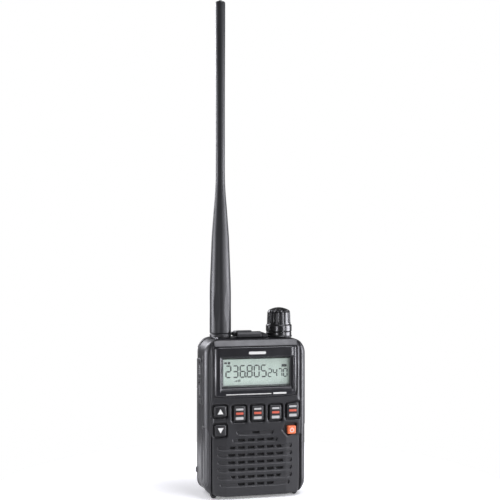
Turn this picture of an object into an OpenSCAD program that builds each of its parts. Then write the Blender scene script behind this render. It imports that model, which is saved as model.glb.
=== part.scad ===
// Compact handheld radio receiver with a whip antenna, built as separate pieces.
// Millimetres. +Z is up, the front faces -Y, and the origin is on the surface that the feet stand on,
// midway between the sides and midway between front and back.

/* [Case] */
// Width of the case across its sides
body_w = 58; // [57:0.5:60]
// Height of the case from its bottom edge to its top face
body_h = 86; // [85.5:0.5:87]
// Depth of the case without what is raised on its front and back
case_d = 28.8; // [28.6:0.1:29.4]
// How far the display panel, the keys and the cover's grip stand out
raise = 0.5; // [0.3:0.1:0.6]
// Thickness of the case walls
wall = 1.6; // [1.5:0.1:1.7]
// Radius of the upright corners, seen from above
corner_r = 6.2; // [5.5:0.1:6.6]
// Radius of the two upper corners, seen from the front
top_r = 6; // [5:0.5:6.5]
// Radius of the two lower corners, seen from the front
bottom_r = 8; // [7:0.5:8.5]
// Height of the sloped facet along the top of the front
bevel_h = 4; // [3:0.5:4.5]
// Depth of the sloped facet along the top of the front
bevel_d = 3; // [2.5:0.5:3.5]
// Height of the feet under the bottom edge
foot_h = 1.4; // [1:0.1:2]
// Distance of each foot from the middle
foot_x = 23; // [21:0.5:23.5]
// Distance behind the middle of the seam between front and rear case
seam_y = 6; // [6:0.1:6.2]
// Height of the top edge of the battery cover
cover_top = 57; // [56.8:0.1:57.2]

/* [Display] */
// Width of the visible display
view_w = 37.1; // [35:0.1:38]
// Height of the visible display
view_h = 13.8; // [12:0.1:14]
// Height of the display's centre above the bottom edge
view_z = 68.1; // [67.5:0.1:68.5]
// Width of the raised panel at its top
panel_w = 47.6; // [46:0.1:48]
// Height of the raised panel's top edge
panel_top = 82; // [81:0.5:82]
// Height of the raised panel's lower corners
panel_low = 55; // [54.5:0.5:55.5]

/* [Keys] */
// How far a front key travels
key_travel = 0.6; // [0.4:0.1:0.7]
// Gap around each front key
key_gap = 0.6; // [0.4:0.1:0.7]
// Width of the hole for a function key
key_w = 8.5; // [8:0.1:8.6]
// Height of the hole for a function key
key_h = 9.9; // [9:0.1:10]
// Distance between neighbouring function keys
key_pitch = 10.2; // [10:0.1:10.3]
// How far a side key travels
side_travel = 0.6; // [0.4:0.1:0.7]

/* [Speaker grille] */
// Radius of the round area that the slots fill
grille_r = 16.3; // [14:0.1:16.5]
// Height of the grille's centre
grille_z = 19.3; // [19:0.1:20]
// Distance between rows
row_pitch = 4.03; // [3.9:0.01:4.1]
// Distance between slots in a row
slot_pitch = 5.43; // [5.3:0.01:5.5]
// Length of a slot
slot_w = 3.9; // [3:0.1:4.2]
// Height of a slot
slot_h = 1.25; // [1:0.05:1.5]

/* [Top] */
// Distance of the antenna's axis to the left of the middle
antenna_x = 17.1; // [16.8:0.1:17.2]
// Distance of the dial's axis to the right of the middle
dial_x = 16.9; // [16.8:0.1:17.2]
// Distance of both axes behind the middle
top_y = 1.5; // [1.3:0.1:1.5]
// Radius of the dial's grip
dial_r = 6.5; // [6:0.1:6.6]
// Radius of the dial's skirt
skirt_r = 7.35; // [7:0.05:7.4]
// Height of the dial's top above the bottom edge
dial_top = 102.7; // [101:0.1:104]
// Number of flutes in the dial
flutes = 14; // [10:1:18]
// Distance of the phones jack to the left of the middle
phones_x = 3; // [2.8:0.1:3.2]
// Radius of the phones jack's bore, for a 3.5 mm plug
phones_r = 1.8; // [1.76:0.01:1.85]

/* [Antenna] */
// Height of the antenna's tip above the bottom edge
antenna_top = 275.6; // [240:0.1:300]
// Radius of the antenna's base
antenna_base_r = 6; // [5.9:0.1:6.3]
// Radius of the whip half way up
whip_r = 2.55; // [2.3:0.05:3]
// Radius of the socket's threaded barrel
barrel_r = 3.15; // [3.1:0.01:3.17]

/* [Batteries] */
// Radius of an AA cell
cell_r = 7.1; // [6.9:0.05:7.15]
// Length of an AA cell without its positive nub
cell_len = 49; // [48.5:0.1:49.2]
// Distance of each cell's axis from the middle
cell_x = 8.1; // [8:0.1:8.3]

/* [Hidden] */
$fn = 64;
half_w = body_w / 2;
half_d = case_d / 2;
front_y = -half_d;
back_y = half_d;
inner_front = front_y + wall;
inner_back = back_y - wall;
inner_top = body_h - wall;
inner_side = half_w - wall;
eps = 0.1;
gap = 0.2;

// Layers from the front wall backwards, each as [front, back]
pocket_d = 0.7;
panel_y = [front_y - raise, front_y + pocket_d];
window_y = [inner_front + 0.05, inner_front + 0.85];
glass_y = [window_y[1] + 0.1, window_y[1] + 1.8];
backlight_y = [glass_y[1] + 0.1, glass_y[1] + 1.5];
main_y = [backlight_y[1] + 0.1, backlight_y[1] + 1.1];
rf_y = [main_y[1] + 1.95, main_y[1] + 2.95];
flange_y = [inner_front + gap, inner_front + 0.9];
mat_y = [flange_y[1] + key_travel + 0.3, flange_y[1] + key_travel + 1.1];
dome_y = [main_y[0] - 0.75, main_y[0] - 0.05];

// Display
view = [-view_w / 2 - 0.45, view_w / 2 - 0.45];
slope = 3;
collar_t = 0.9;
frame_in = 1.5;

// Front keys: [centre x, centre z, hole width, hole height]
row_z = 45.5;
row_x0 = -9.65;
FUNCTION_KEYS = [for (i = [0 : 3]) [row_x0 + key_pitch * i + (i == 3 ? -0.3 : 0), row_z + (i == 3 ? 0.7 : 0)]];
up_key = [-20.4, 47.1, 8.6, 7.5];
down_key = [-20.3, 36.7, 8.0, 7.8];
power_key = [19, 36, 7.9, 6.6];
key_round = 1.5;
flange_w = 0.5;
flange_room = 0.3;
flange_skin = 0.05;
groove_x = 25.4;

// Side key strip
strip_y = [-6.5, 4.5];
strip_z = [50, 75];
strip_pocket = 0.5;
strip_proud = 0.6;
side_key_z = [57.2, 68.4];
side_key_h = 8.6;
side_key_w = 6.4;

// Grille
grille_x = -0.3;
rows = 8;
row_top = grille_z + 15.6;
groove_d = 0.5;
GROOVE_HALF = [10.5, 12.9, 21.1, 21.1, 21.1, 21.1, 21.1, 19.8];

// Speaker
speaker_r = 16.1;
speaker_y = [inner_front + 0.35, inner_front + 3.3];
magnet_r = 8;

// Rear case and battery bay
bulkhead_t = 1.2;
cell_y = 5.4;
cell_nub_r = 2.7;
cell_nub = 1.2;
bay_half = cell_x + cell_r + 0.35;
bay_wall = 1.2;
bay_z = [4.6, 59.4];
bay_front = cell_y - cell_r - 0.3;
rail_y = seam_y + 3.1;
rail_t = 1.2;
rail_w = 2;
hook_t = 1.2;

// Contacts
bridge_z = bay_z[0] + 0.05;
sheet = 0.4;
left_cell_z = bridge_z + sheet + 3.4;
right_cell_z = bridge_z + sheet + 0.05;
spring_wire = 0.35;
spring_turns = 3.5;

// Screws
boss_r = 2.3;
LOW_SCREWS = [[-22.6, 9], [22.6, 9]];
HIGH_SCREWS = [[-9.8, 81], [7.4, 81]];
screw_r = 1;
screw_head_r = 1.8;
screw_hole_r = 1.1;

// Belt clip inserts
insert_x = 10;
insert_z = 70;
insert_r = 2.2;
insert_bore_r = 1.25;
insert_len = 5;

// Direct current jack on the right side
dc = [half_w, -0.9, 68];
dc_bore_r = 2.1;
dc_barrel_r = 3.2;
dc_cover_half_y = 4.5;
dc_cover_z = [62.6, 74];
dc_cover_x = [half_w - 0.3, half_w + 0.7];

// Strap bar in the rear left upper corner
strap_z = [72, 82];
strap_notch_z = [74, 80];
strap_y = [8.3, 12.3];

// Top
jack_z = body_h + 6.5;
collar_z = [body_h + 0.05, body_h + 2.9];
skirt_z = [body_h + 3.2, body_h + 6.9];
shaft_r = 2.5;
bushing_r = 3.5;
cap_x = [-9.5, 5.3];
cap_z = [body_h + 0.15, body_h + 4.3];
cap_y = [-5.2, 8.2];
strap_x = [5.75, 9];
strap_inset = 1.5;
hinge_x = 5.5;
hinge_z = body_h + 2.75;
hinge_r = 0.2;

// Antenna
base_z = body_h + 0.3;
nut_z = [body_h + 2, body_h + 7.6];
element_z = nut_z[1] + 0.9;

// ---------- helpers ----------

// Lifts what is drawn from the case's bottom edge to above the feet
module lift() {
    translate([0, 0, foot_h]) children();
}

// A box between two corners
module block(lo, hi) {
    translate(lo) cube(hi - lo);
}

// An outline drawn in X and Z, extruded from y0 to y1
module along_y(y0, y1) {
    translate([0, y1, 0]) rotate([90, 0, 0]) linear_extrude(height = y1 - y0) children();
}

// An outline drawn in Y and Z, extruded from x0 to x1
module along_x(x0, x1) {
    translate([x0, 0, 0]) rotate([90, 0, 90]) linear_extrude(height = x1 - x0) children();
}

// A rod along Y
module rod_y(x, z, r, y0, y1) {
    translate([x, y1, z]) rotate([90, 0, 0]) cylinder(h = y1 - y0, r = r);
}

// A rod along X
module rod_x(y, z, r, x0, x1) {
    translate([x0, y, z]) rotate([0, 90, 0]) cylinder(h = x1 - x0, r = r);
}

// A rod along Z
module rod_z(x, y, r, z0, z1) {
    translate([x, y, z0]) cylinder(h = z1 - z0, r = r);
}

// A centred rectangle with round corners
module rounded(w, h, r) {
    square([w - 2 * r, h], center = true);
    square([w, h - 2 * r], center = true);
    for (x = [-1, 1], y = [-1, 1])
        translate([x * (w / 2 - r), y * (h / 2 - r)]) circle(r);
}

// The case seen from the front, t inside its outer surface
module front_outline(t) {
    hw = half_w - t;
    low = bottom_r - t;
    high = top_r - t;
    top = body_h - t;
    translate([-hw, t + low]) square([2 * hw, top - high - t - low]);
    translate([low - hw, t]) square([2 * (hw - low), low + 1]);
    translate([high - hw, top - high - 1]) square([2 * (hw - high), high + 1]);
    for (s = [-1, 1]) {
        translate([s * (hw - low), t + low]) circle(low);
        translate([s * (hw - high), top - high]) circle(high);
    }
}

// The case seen from the side, t inside its outer surface
module side_outline(t) {
    hd = half_d - t;
    top = body_h - t;
    cut = t * 0.45;
    polygon([[-hd, t + 0.8], [-hd + 0.8, t], [hd - 0.8, t], [hd, t + 0.8], [hd, top - bevel_h + cut],
        [hd - bevel_d + cut, top], [-hd + bevel_d - cut, top], [-hd, top - bevel_h + cut]]);
}

// The solid form of the case, t inside its outer surface
module body_form(t) {
    intersection() {
        linear_extrude(height = body_h) rounded(body_w - 2 * t, case_d - 2 * t, corner_r - t);
        along_y(-half_d, half_d) front_outline(t);
        along_x(-half_w, half_w) side_outline(t);
    }
}

// The walls of the case
module shell() {
    difference() {
        body_form(0);
        body_form(wall);
    }
}

// A tapered foot under the bottom edge
module foot(x, y) {
    translate([x, y, -foot_h]) cylinder(h = foot_h + eps, r1 = 1, r2 = 1.9);
}

// A ring between two outlines
module panel_outline(t) {
    w = panel_w / 2 - t;
    x0 = -0.5;
    hull() {
        translate([x0 - w + 1, panel_top - t - 1]) circle(1, $fn = 24);
        translate([x0 + w - 1, panel_top - t - 1]) circle(1, $fn = 24);
        translate([x0 - w + 1, panel_low + t + 1]) circle(1, $fn = 24);
        translate([x0 + w - 1, panel_low + t + 1]) circle(1, $fn = 24);
        translate([x0, panel_low + t - 0.6]) circle(1, $fn = 24);
    }
}

// Sloped opening from the panel's front down to the visible display
module display_well() {
    x0 = view[0];
    x1 = view[1];
    z0 = view_z - view_h / 2;
    z1 = view_z + view_h / 2;
    y0 = panel_y[0] - eps;
    y1 = inner_front + eps;
    s = slope;
    polyhedron(
        points = [[x0 - s, y0, z0 - s], [x1 + s, y0, z0 - s], [x1 + s, y0, z1 + s * 0.6], [x0 - s, y0, z1 + s * 0.6],
            [x0, y1, z0], [x1, y1, z0], [x1, y1, z1], [x0, y1, z1]],
        faces = [[0, 3, 2, 1], [4, 5, 6, 7], [0, 1, 5, 4], [1, 2, 6, 5], [2, 3, 7, 6], [3, 0, 4, 7]]);
}

// The opening in the front case behind the display panel
module display_opening(t) {
    block([view[0] - collar_t - t, front_y - eps, view_z - view_h / 2 - collar_t - t],
        [view[1] + collar_t + t, inner_front + eps, view_z + view_h / 2 + collar_t + t]);
}

// Hole for a key, grown by t on each side
module key_outline(k, t) {
    translate([k[0], k[1]]) rounded(k[2] + 2 * t, k[3] + 2 * t, key_round);
}

// Five-sided hole for the power key, grown by t on each side
module power_outline(t) {
    w = power_key[2] / 2 + t;
    h = power_key[3] / 2 + t;
    translate([power_key[0], power_key[1]])
        polygon([[-w, -0.4], [-w + 2.4, -h], [w - 0.7, -h + 0.8], [w, h - 0.3], [w - 0.6, h], [-w + 1.4, h - 0.3]]);
}

// Every hole in the key field
module key_holes(t) {
    key_outline(up_key, t);
    key_outline(down_key, t);
    for (k = FUNCTION_KEYS) key_outline([k[0], k[1], key_w, key_h], t);
    power_outline(t);
}

// Slots of the grille, clipped to a round area
module grille_slots() {
    intersection() {
        translate([grille_x, grille_z]) circle(grille_r);
        union() {
            translate([grille_x, row_top]) square([slot_w, slot_h], center = true);
            for (row = [1 : rows - 1], col = [-3 : 2])
                translate([grille_x + (col + 0.5) * slot_pitch, row_top - row * row_pitch])
                    square([slot_w, slot_h], center = true);
        }
    }
}

// Shallow grooves that the slots lie in
module grille_grooves() {
    for (row = [0 : rows - 1])
        translate([grille_x - 0.5, row_top - row * row_pitch])
            rounded(2 * GROOVE_HALF[row], slot_h + 0.7, 0.9);
}

// ---------- case ----------

module front_case() {
    color("#3b3c40") lift() difference() {
        union() {
            intersection() {
                shell();
                block([-half_w, front_y, 0], [half_w, seam_y, body_h]);
            }
            for (p = concat(LOW_SCREWS, HIGH_SCREWS)) rod_y(p[0], p[1], boss_r, inner_front - eps, seam_y - gap);
            for (s = [-1, 1]) foot(s * foot_x, -8.5);
        }
        for (p = concat(LOW_SCREWS, HIGH_SCREWS)) rod_y(p[0], p[1], screw_r - 0.1, -6, seam_y + eps);
        along_y(front_y - eps, front_y + pocket_d) panel_outline(-0.1);
        display_opening(0);
        along_y(front_y - eps, inner_front + eps) key_holes(0);
        // room for the keys' flanges, which reach into the rounded corners
        along_y(inner_front + flange_skin, mat_y[0]) key_holes(flange_w + flange_room);
        along_y(front_y - eps, front_y + groove_d) grille_grooves();
        along_y(front_y - eps, inner_front + eps) grille_slots();
        for (s = [-1, 1])
            block([s * groove_x - 0.3, front_y - eps, 3], [s * groove_x + 0.3, front_y + 0.4, 81]);
        // pocket and holes of the side key strip
        along_x(-half_w - eps, -half_w + strip_pocket) strip_outline(0.1);
        for (z = side_key_z) along_x(-half_w - eps, -inner_side + eps)
            translate([(strip_y[0] + strip_y[1]) / 2, z]) rounded(side_key_w - 0.6, side_key_h - 0.6, 1);
        // pocket and hole of the direct current jack
        block([half_w - 0.5, dc[1] - dc_cover_half_y - 0.15, dc_cover_z[0] - 0.75],
            [half_w + 1, dc[1] + dc_cover_half_y + 0.15, dc_cover_z[1] + 0.15]);
        rod_x(dc[1], dc[2], dc_barrel_r + 0.1, inner_side - 1, half_w);
        // holes in the top wall
        rod_z(-antenna_x, top_y, barrel_r + 0.1, inner_top - 1, body_h + eps);
        rod_z(dial_x, top_y, bushing_r + 0.1, inner_top - 1, body_h + eps);
        rod_z(-phones_x, top_y, 3.1, inner_top - 1, body_h + eps);
        // seal groove in the rear edge
        along_y(seam_y - 0.7, seam_y + eps) seal_ring(0.4, 1.2);
    }
}

// A closed band that follows the case wall
module seal_ring(t0, t1) {
    difference() {
        front_outline(t0);
        front_outline(t1);
    }
}

module case_gasket() {
    color("#1c1c1e") lift() along_y(seam_y - 0.65, seam_y - 0.05) seal_ring(0.48, 1.12);
}

// The battery bay's hollow: open at the back up to the cover's top edge, and closed by the case wall above it
module bay_hollow() {
    block([-bay_half, bay_front, bay_z[0]], [bay_half, back_y + eps, cover_top]);
    block([-bay_half, bay_front, bay_z[0]], [bay_half, inner_back - gap, bay_z[1]]);
}

module rear_case() {
    color("#36373b") lift() difference() {
        union() {
            intersection() {
                shell();
                block([-half_w, seam_y, cover_top], [half_w, back_y, body_h]);
            }
            intersection() {
                along_y(seam_y, seam_y + bulkhead_t) front_outline(0);
                body_form(0);
                block([-half_w, seam_y, 0], [half_w, back_y, cover_top + bulkhead_t]);
            }
            intersection() {
                body_form(0);
                block([-half_w, seam_y, cover_top], [half_w, back_y, cover_top + bulkhead_t]);
            }
            block([-bay_half - bay_wall, bay_front - bay_wall, bay_z[0] - bay_wall],
                [bay_half + bay_wall, inner_back - 0.3, bay_z[1] + bay_wall]);
            for (s = [-1, 1])
                block([s > 0 ? bay_half : -bay_half - bay_wall - rail_w, rail_y, bay_z[0]],
                    [s > 0 ? bay_half + bay_wall + rail_w : -bay_half, rail_y + rail_t, cover_top]);
            for (p = HIGH_SCREWS) rod_y(p[0], p[1], boss_r, seam_y, inner_back + eps);
            for (s = [-1, 1]) rod_y(s * insert_x, insert_z, insert_r + 1.2, back_y - insert_len - 1.2, inner_back + eps);
            intersection() {
                body_form(0);
                block([-half_w, seam_y + 1, strap_z[0]], [-22, back_y, strap_z[1]]);
            }
        }
        bay_hollow();
        for (p = LOW_SCREWS) rod_y(p[0], p[1], screw_hole_r, seam_y - eps, seam_y + bulkhead_t + eps);
        for (p = HIGH_SCREWS) {
            rod_y(p[0], p[1], screw_hole_r, seam_y - eps, back_y + eps);
            rod_y(p[0], p[1], screw_head_r + 0.2, back_y - 1.2, back_y + eps);
        }
        for (s = [-1, 1]) rod_y(s * insert_x, insert_z, insert_r + 0.05, back_y - insert_len - 0.1, back_y + eps);
        block([-half_w - 1, strap_y[0], strap_notch_z[0]], [-24.4, strap_y[1], strap_notch_z[1]]);
        rod_z(-27.2, (strap_y[0] + strap_y[1]) / 2, 0.8, strap_notch_z[0] - 1.05, strap_notch_z[1] + 1.05);
    }
}

// Grip ribs, side hooks and rails make the cover one moulding
module battery_cover() {
    web_x = bay_half + bay_wall + rail_w + 0.5;
    color("#36373b") lift() {
        intersection() {
            shell();
            block([-half_w, seam_y + bulkhead_t + gap, 0], [half_w, back_y, cover_top - gap]);
        }
        for (s = [-1, 1]) {
            block([s > 0 ? web_x : -web_x - hook_t, rail_y - 1.5, bay_z[0]],
                [s > 0 ? web_x + hook_t : -web_x, inner_back + eps, cover_top - 3]);
            block([s > 0 ? web_x - 2 : -web_x - eps, rail_y - 1.5, bay_z[0]],
                [s > 0 ? web_x + eps : -web_x + 2, rail_y - 0.5, cover_top - 3]);
            foot(s * foot_x, 8.9);
            // side grips
            block([s > 0 ? half_w - 1 : -half_w - 0.7, 8, 9.5], [s > 0 ? half_w + 0.7 : 1 - half_w, 10, 12.5]);
        }
        for (i = [0 : 4]) block([-9, back_y - eps, 38 + i * 2.6], [9, back_y + raise, 39.2 + i * 2.6]);
    }
}

// ---------- display ----------

module display_panel() {
    color("#3a3a3f") lift() difference() {
        union() {
            along_y(panel_y[0], panel_y[1]) panel_outline(0);
            block([view[0] - collar_t + 0.1, panel_y[1] - eps, view_z - view_h / 2 - collar_t + 0.1],
                [view[1] + collar_t - 0.1, inner_front, view_z + view_h / 2 + collar_t - 0.1]);
        }
        display_well();
    }
}

// A plate behind the display opening, t larger than the view
module display_plate(y, t) {
    block([view[0] - t, y[0], view_z - view_h / 2 - t], [view[1] + t, y[1], view_z + view_h / 2 + t]);
}

module lcd_window() {
    color([0.8, 0.9, 0.85, 0.4]) lift() display_plate(window_y, 2.4);
}

module lcd_glass() {
    color("#c9d9c3") lift() display_plate(glass_y, frame_in);
}

module lcd_backlight() {
    color("#e8efe6") lift() display_plate(backlight_y, frame_in);
}

module lcd_holder() {
    color("#d8d8d4") lift() difference() {
        display_plate([glass_y[0], backlight_y[1]], frame_in + 1.3);
        display_plate([glass_y[0] - eps, backlight_y[1] + eps], frame_in + 0.1);
    }
}

// ---------- keys ----------

// A key cap that fills its hole but for the gap, with a flange that keeps it behind the wall
module front_key(k) {
    lift() {
        along_y(front_y - raise, flange_y[1]) key_outline(k, -key_gap);
        along_y(flange_y[0], flange_y[1]) key_outline(k, flange_w);
    }
}

module key_up() {
    color("#45464a") front_key(up_key);
}

module key_down() {
    color("#45464a") front_key(down_key);
}

module function_key(i) {
    color("#45464a") front_key([FUNCTION_KEYS[i][0], FUNCTION_KEYS[i][1], key_w, key_h]);
}

module key_band() {
    function_key(0);
}

module key_step() {
    function_key(1);
}

module key_mode() {
    function_key(2);
}

module key_memory() {
    function_key(3);
}

module key_power() {
    color("#e8632c") lift() {
        along_y(front_y - raise, flange_y[1]) power_outline(-key_gap);
        along_y(flange_y[0], flange_y[1]) power_outline(flange_w);
    }
}

// Outline that the key mat and the board behind it share: a band with an ear at each lower corner
module key_field(half, low, mid, high) {
    translate([-half, mid]) square([2 * half, high - mid]);
    for (s = [-1, 1]) translate([s > 0 ? 14.4 : -half, low]) square([half - 14.4, mid - low + 1]);
}

module keypad_mat() {
    color("#232427") lift() along_y(mat_y[0], mat_y[1]) key_field(25.3, 31.8, 39.6, 52.2);
}

module dome_switches() {
    color("#c8c8c8") lift() {
        for (k = concat(FUNCTION_KEYS, [up_key, down_key, power_key])) rod_y(k[0], k[1], 2.2, dome_y[0], dome_y[1]);
    }
}

module strip_outline(t) {
    translate([(strip_y[0] + strip_y[1]) / 2, (strip_z[0] + strip_z[1]) / 2])
        rounded(strip_y[1] - strip_y[0] + 2 * t, strip_z[1] - strip_z[0] + 2 * t, 2.4);
}

module side_key_pad() {
    color("#2c2d30") lift() difference() {
        along_x(-half_w - strip_proud, -half_w + strip_pocket - 0.05) strip_outline(0);
        for (z = side_key_z) along_x(-half_w - 1, -half_w + 1)
            translate([(strip_y[0] + strip_y[1]) / 2, z]) rounded(side_key_w + 0.5, side_key_h + 0.5, 1.6);
    }
}

module side_key(z) {
    y = (strip_y[0] + strip_y[1]) / 2;
    head_x = -half_w - strip_proud - 0.1;
    color("#3a3b3f") lift() {
        along_x(head_x, -half_w - side_travel + strip_pocket - 0.05) translate([y, z]) rounded(side_key_w, side_key_h, 1.4);
        along_x(-half_w - 0.5, -inner_side + 1.2) translate([y, z]) rounded(side_key_w - 1.4, side_key_h - 1.4, 0.8);
    }
}

module side_key_lower() {
    side_key(side_key_z[0]);
}

module side_key_upper() {
    side_key(side_key_z[1]);
}

module side_key_board() {
    color("#2f6b46") lift() block([-25.5, -4.4, 52], [-24.7, 3.4, 74]);
}

// ---------- speaker ----------

module speaker_net() {
    color("#141416") lift() rod_y(grille_x, grille_z, speaker_r + 0.2, inner_front + 0.05, inner_front + 0.25);
}

module speaker_frame() {
    color("#8d8f92") lift() difference() {
        rod_y(grille_x, grille_z, speaker_r, speaker_y[0], speaker_y[1]);
        rod_y(grille_x, grille_z, speaker_r - 1.2, speaker_y[0] - eps, speaker_y[1] - 0.6);
        for (a = [0 : 60 : 300]) translate([grille_x, 0, grille_z]) rotate([0, a, 0])
            rod_y(0, 12, 1.8, speaker_y[0], speaker_y[1] + eps);
    }
}

module speaker_cone() {
    color("#202124") lift() translate([grille_x, speaker_y[1] - 0.7, grille_z]) rotate([90, 0, 0])
        rotate_extrude() polygon([[0, 0.3], [5, 0], [14.5, 1.6], [14.5, 1.9], [5, 0.4], [0, 0.8]]);
}

module speaker_magnet() {
    color("#6f7276") lift() rod_y(grille_x, grille_z, magnet_r, speaker_y[1] + 0.05, speaker_y[1] + 2.9);
}

// ---------- electronics ----------

module main_board() {
    color("#1f6b3f") lift() difference() {
        along_y(main_y[0], main_y[1]) key_field(24.2, 31.8, 39.6, 83.6);
        for (p = HIGH_SCREWS) rod_y(p[0], p[1], boss_r + 0.2, main_y[0] - eps, main_y[1] + eps);
    }
}

module rf_board() {
    color("#1f6b3f") lift() difference() {
        block([-19.6, rf_y[0], 4.5], [19.6, rf_y[1], 83.6]);
        for (p = HIGH_SCREWS) rod_y(p[0], p[1], boss_r + 0.2, rf_y[0] - eps, rf_y[1] + eps);
    }
}

module shield_cans() {
    color("#b9bcc0") lift() {
        block([-8, rf_y[1] + 0.05, 61.5], [8, rf_y[1] + 2, 69.5]);
        block([-18, main_y[1] + 0.05, 60], [-2, rf_y[0] - 0.05, 76]);
        block([2, main_y[1] + 0.05, 60], [18, rf_y[0] - 0.05, 76]);
    }
}

module board_connector() {
    color("#e6e2d2") lift() block([-9, main_y[1] + 0.05, 42], [9, rf_y[0] - 0.05, 46]);
}

// ---------- dial ----------

module tuning_encoder() {
    color("#9a9da1") lift() difference() {
        union() {
            block([dial_x - 5.5, top_y - 5.4, inner_top - 7], [dial_x + 5.5, top_y + 5.4, inner_top - 0.1]);
            rod_z(dial_x, top_y, bushing_r, inner_top - 1, body_h + 4.4);
        }
        rod_z(dial_x, top_y, shaft_r + 0.06, inner_top - 5.5, body_h + 5);
    }
}

module encoder_shaft() {
    color("#c9ccd0") lift() difference() {
        rod_z(dial_x, top_y, shaft_r, inner_top - 5.3, body_h + 12.5);
        block([dial_x - 3, top_y + 1.6, body_h + 6.5], [dial_x + 3, top_y + 3, body_h + 13]);
    }
}

module encoder_nut() {
    color("#c9ccd0") lift() difference() {
        translate([dial_x, top_y, body_h + 0.05]) cylinder(h = 1.8, r = 4.7, $fn = 6);
        rod_z(dial_x, top_y, bushing_r + 0.03, body_h - 1, body_h + 3);
    }
}

module knob_collar() {
    color("#1e1e20") lift() difference() {
        rod_z(dial_x, top_y, skirt_r - 0.15, collar_z[0], collar_z[1]);
        rod_z(dial_x, top_y, 4.9, collar_z[0] - eps, collar_z[1] + eps);
    }
}

module tuning_knob() {
    dome_r = 24;
    color("#26272a") lift() translate([dial_x, top_y, 0]) difference() {
        union() {
            translate([0, 0, skirt_z[0]]) cylinder(h = skirt_z[1] - skirt_z[0], r = skirt_r);
            intersection() {
                translate([0, 0, skirt_z[0]]) cylinder(h = dial_top - skirt_z[0], r = dial_r);
                translate([0, 0, dial_top - dome_r]) sphere(dome_r);
            }
        }
        for (i = [0 : flutes - 1]) rotate([0, 0, i * 360 / flutes])
            translate([dial_r + 0.35, 0, skirt_z[1] + 0.1]) cylinder(h = dial_top, r = 0.85);
        translate([0, 0, skirt_z[0] - eps]) cylinder(h = 2.4, r = 5.2);
        translate([0, 0, skirt_z[0]]) cylinder(h = body_h + 12.7 - skirt_z[0], r = shaft_r + 0.03);
    }
}

// ---------- antenna ----------

module antenna_jack() {
    color("#d9b45a") lift() difference() {
        union() {
            rod_z(-antenna_x, top_y, 4.5, inner_top - 1.6, inner_top - 0.1);
            rod_z(-antenna_x, top_y, barrel_r, inner_top - 4, jack_z);
        }
        rod_z(-antenna_x, top_y, 2.1, inner_top - 5, jack_z + eps);
    }
}

module antenna_jack_insulator() {
    color("#f2f1ec") lift() difference() {
        rod_z(-antenna_x, top_y, 2.05, inner_top - 4, jack_z - 1.4);
        rod_z(-antenna_x, top_y, 0.95, inner_top - 5, jack_z);
    }
}

module antenna_jack_contact() {
    color("#d9b45a") lift() difference() {
        rod_z(-antenna_x, top_y, 0.9, inner_top - 6, jack_z - 1.4);
        rod_z(-antenna_x, top_y, 0.5, body_h + 1, jack_z);
    }
}

module antenna_jack_nut() {
    color("#b9bcc0") lift() difference() {
        translate([-antenna_x, top_y, body_h + 0.05]) cylinder(h = 1.2, r = 4.5, $fn = 6);
        rod_z(-antenna_x, top_y, barrel_r + 0.03, body_h - 1, body_h + 3);
    }
}

// Half profile of the sleeve: a straight grip, a smooth waist and a slightly flared whip
SLEEVE = [[antenna_base_r, base_z], [antenna_base_r, 110], [5.85, 116], [5.45, 127], [4.85, 143],
    [3.65, 159], [2.85, 169], [whip_r, 177], [whip_r, 215], [whip_r + 0.15, 250],
    [whip_r + 0.2, antenna_top - 1.6], [whip_r - 0.4, antenna_top - 0.4], [0.9, antenna_top - 0.25], [0.7, antenna_top]];

module antenna_sheath() {
    color("#2b2c2e") lift() translate([-antenna_x, top_y, 0]) difference() {
        rotate_extrude() polygon(concat([[0, base_z]], SLEEVE, [[0, antenna_top]]));
        translate([0, 0, base_z - eps]) cylinder(h = nut_z[0] - base_z + eps, r = 5);
        translate([0, 0, nut_z[0] - eps]) cylinder(h = nut_z[1] - nut_z[0] + 0.2, r = 4.35);
        translate([0, 0, nut_z[1]]) cylinder(h = antenna_top - 8 - nut_z[1], r = 0.75);
        translate([0, 0, nut_z[1]]) cylinder(h = 1.2, r = 2);
    }
}

module antenna_nut() {
    color("#d9b45a") lift() difference() {
        rod_z(-antenna_x, top_y, 4.3, nut_z[0], nut_z[1]);
        rod_z(-antenna_x, top_y, barrel_r + 0.06, nut_z[0] - eps, nut_z[1] - 0.8);
        rod_z(-antenna_x, top_y, 2, nut_z[0], nut_z[1] + eps);
    }
}

module antenna_insulator() {
    color("#f2f1ec") lift() difference() {
        rod_z(-antenna_x, top_y, 1.95, nut_z[1] - 0.75, nut_z[1] + 0.8);
        rod_z(-antenna_x, top_y, 0.52, nut_z[1] - 1, nut_z[1] + 1);
    }
}

module antenna_pin() {
    color("#d9b45a") lift() rod_z(-antenna_x, top_y, 0.45, body_h + 2, nut_z[1] + 0.75);
}

module antenna_element() {
    color("#b9bcc0") lift() rod_z(-antenna_x, top_y, 0.7, nut_z[1] + 0.85, antenna_top - 8.2);
}

// ---------- sockets and their covers ----------

module speaker_jack() {
    color("#26272a") lift() difference() {
        union() {
            block([-phones_x - 3.8, top_y - 3.8, inner_top - 13], [-phones_x + 3.8, top_y + 3.8, inner_top - 0.1]);
            rod_z(-phones_x, top_y, 3, inner_top - 1, body_h);
        }
        rod_z(-phones_x, top_y, phones_r, body_h - 14, body_h + eps);
    }
}

// Rubber cap with the thin web that it bends at
module speaker_jack_cover() {
    y0 = cap_y[0] + strap_inset;
    y1 = cap_y[1] - strap_inset;
    color("#2c2d30") lift() {
        along_y(cap_y[0], cap_y[1])
            polygon([[cap_x[0], cap_z[0]], [cap_x[1], cap_z[0]], [cap_x[1], cap_z[0] + 2.8], [1.4, cap_z[1]],
                [cap_x[0] + 0.8, cap_z[1]], [cap_x[0], cap_z[1] - 0.8]]);
        block([cap_x[1] - eps, y0, hinge_z - hinge_r], [hinge_x, y1, hinge_z + hinge_r]);
        rod_y(hinge_x, hinge_z, hinge_r, y0, y1);
    }
}

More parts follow.
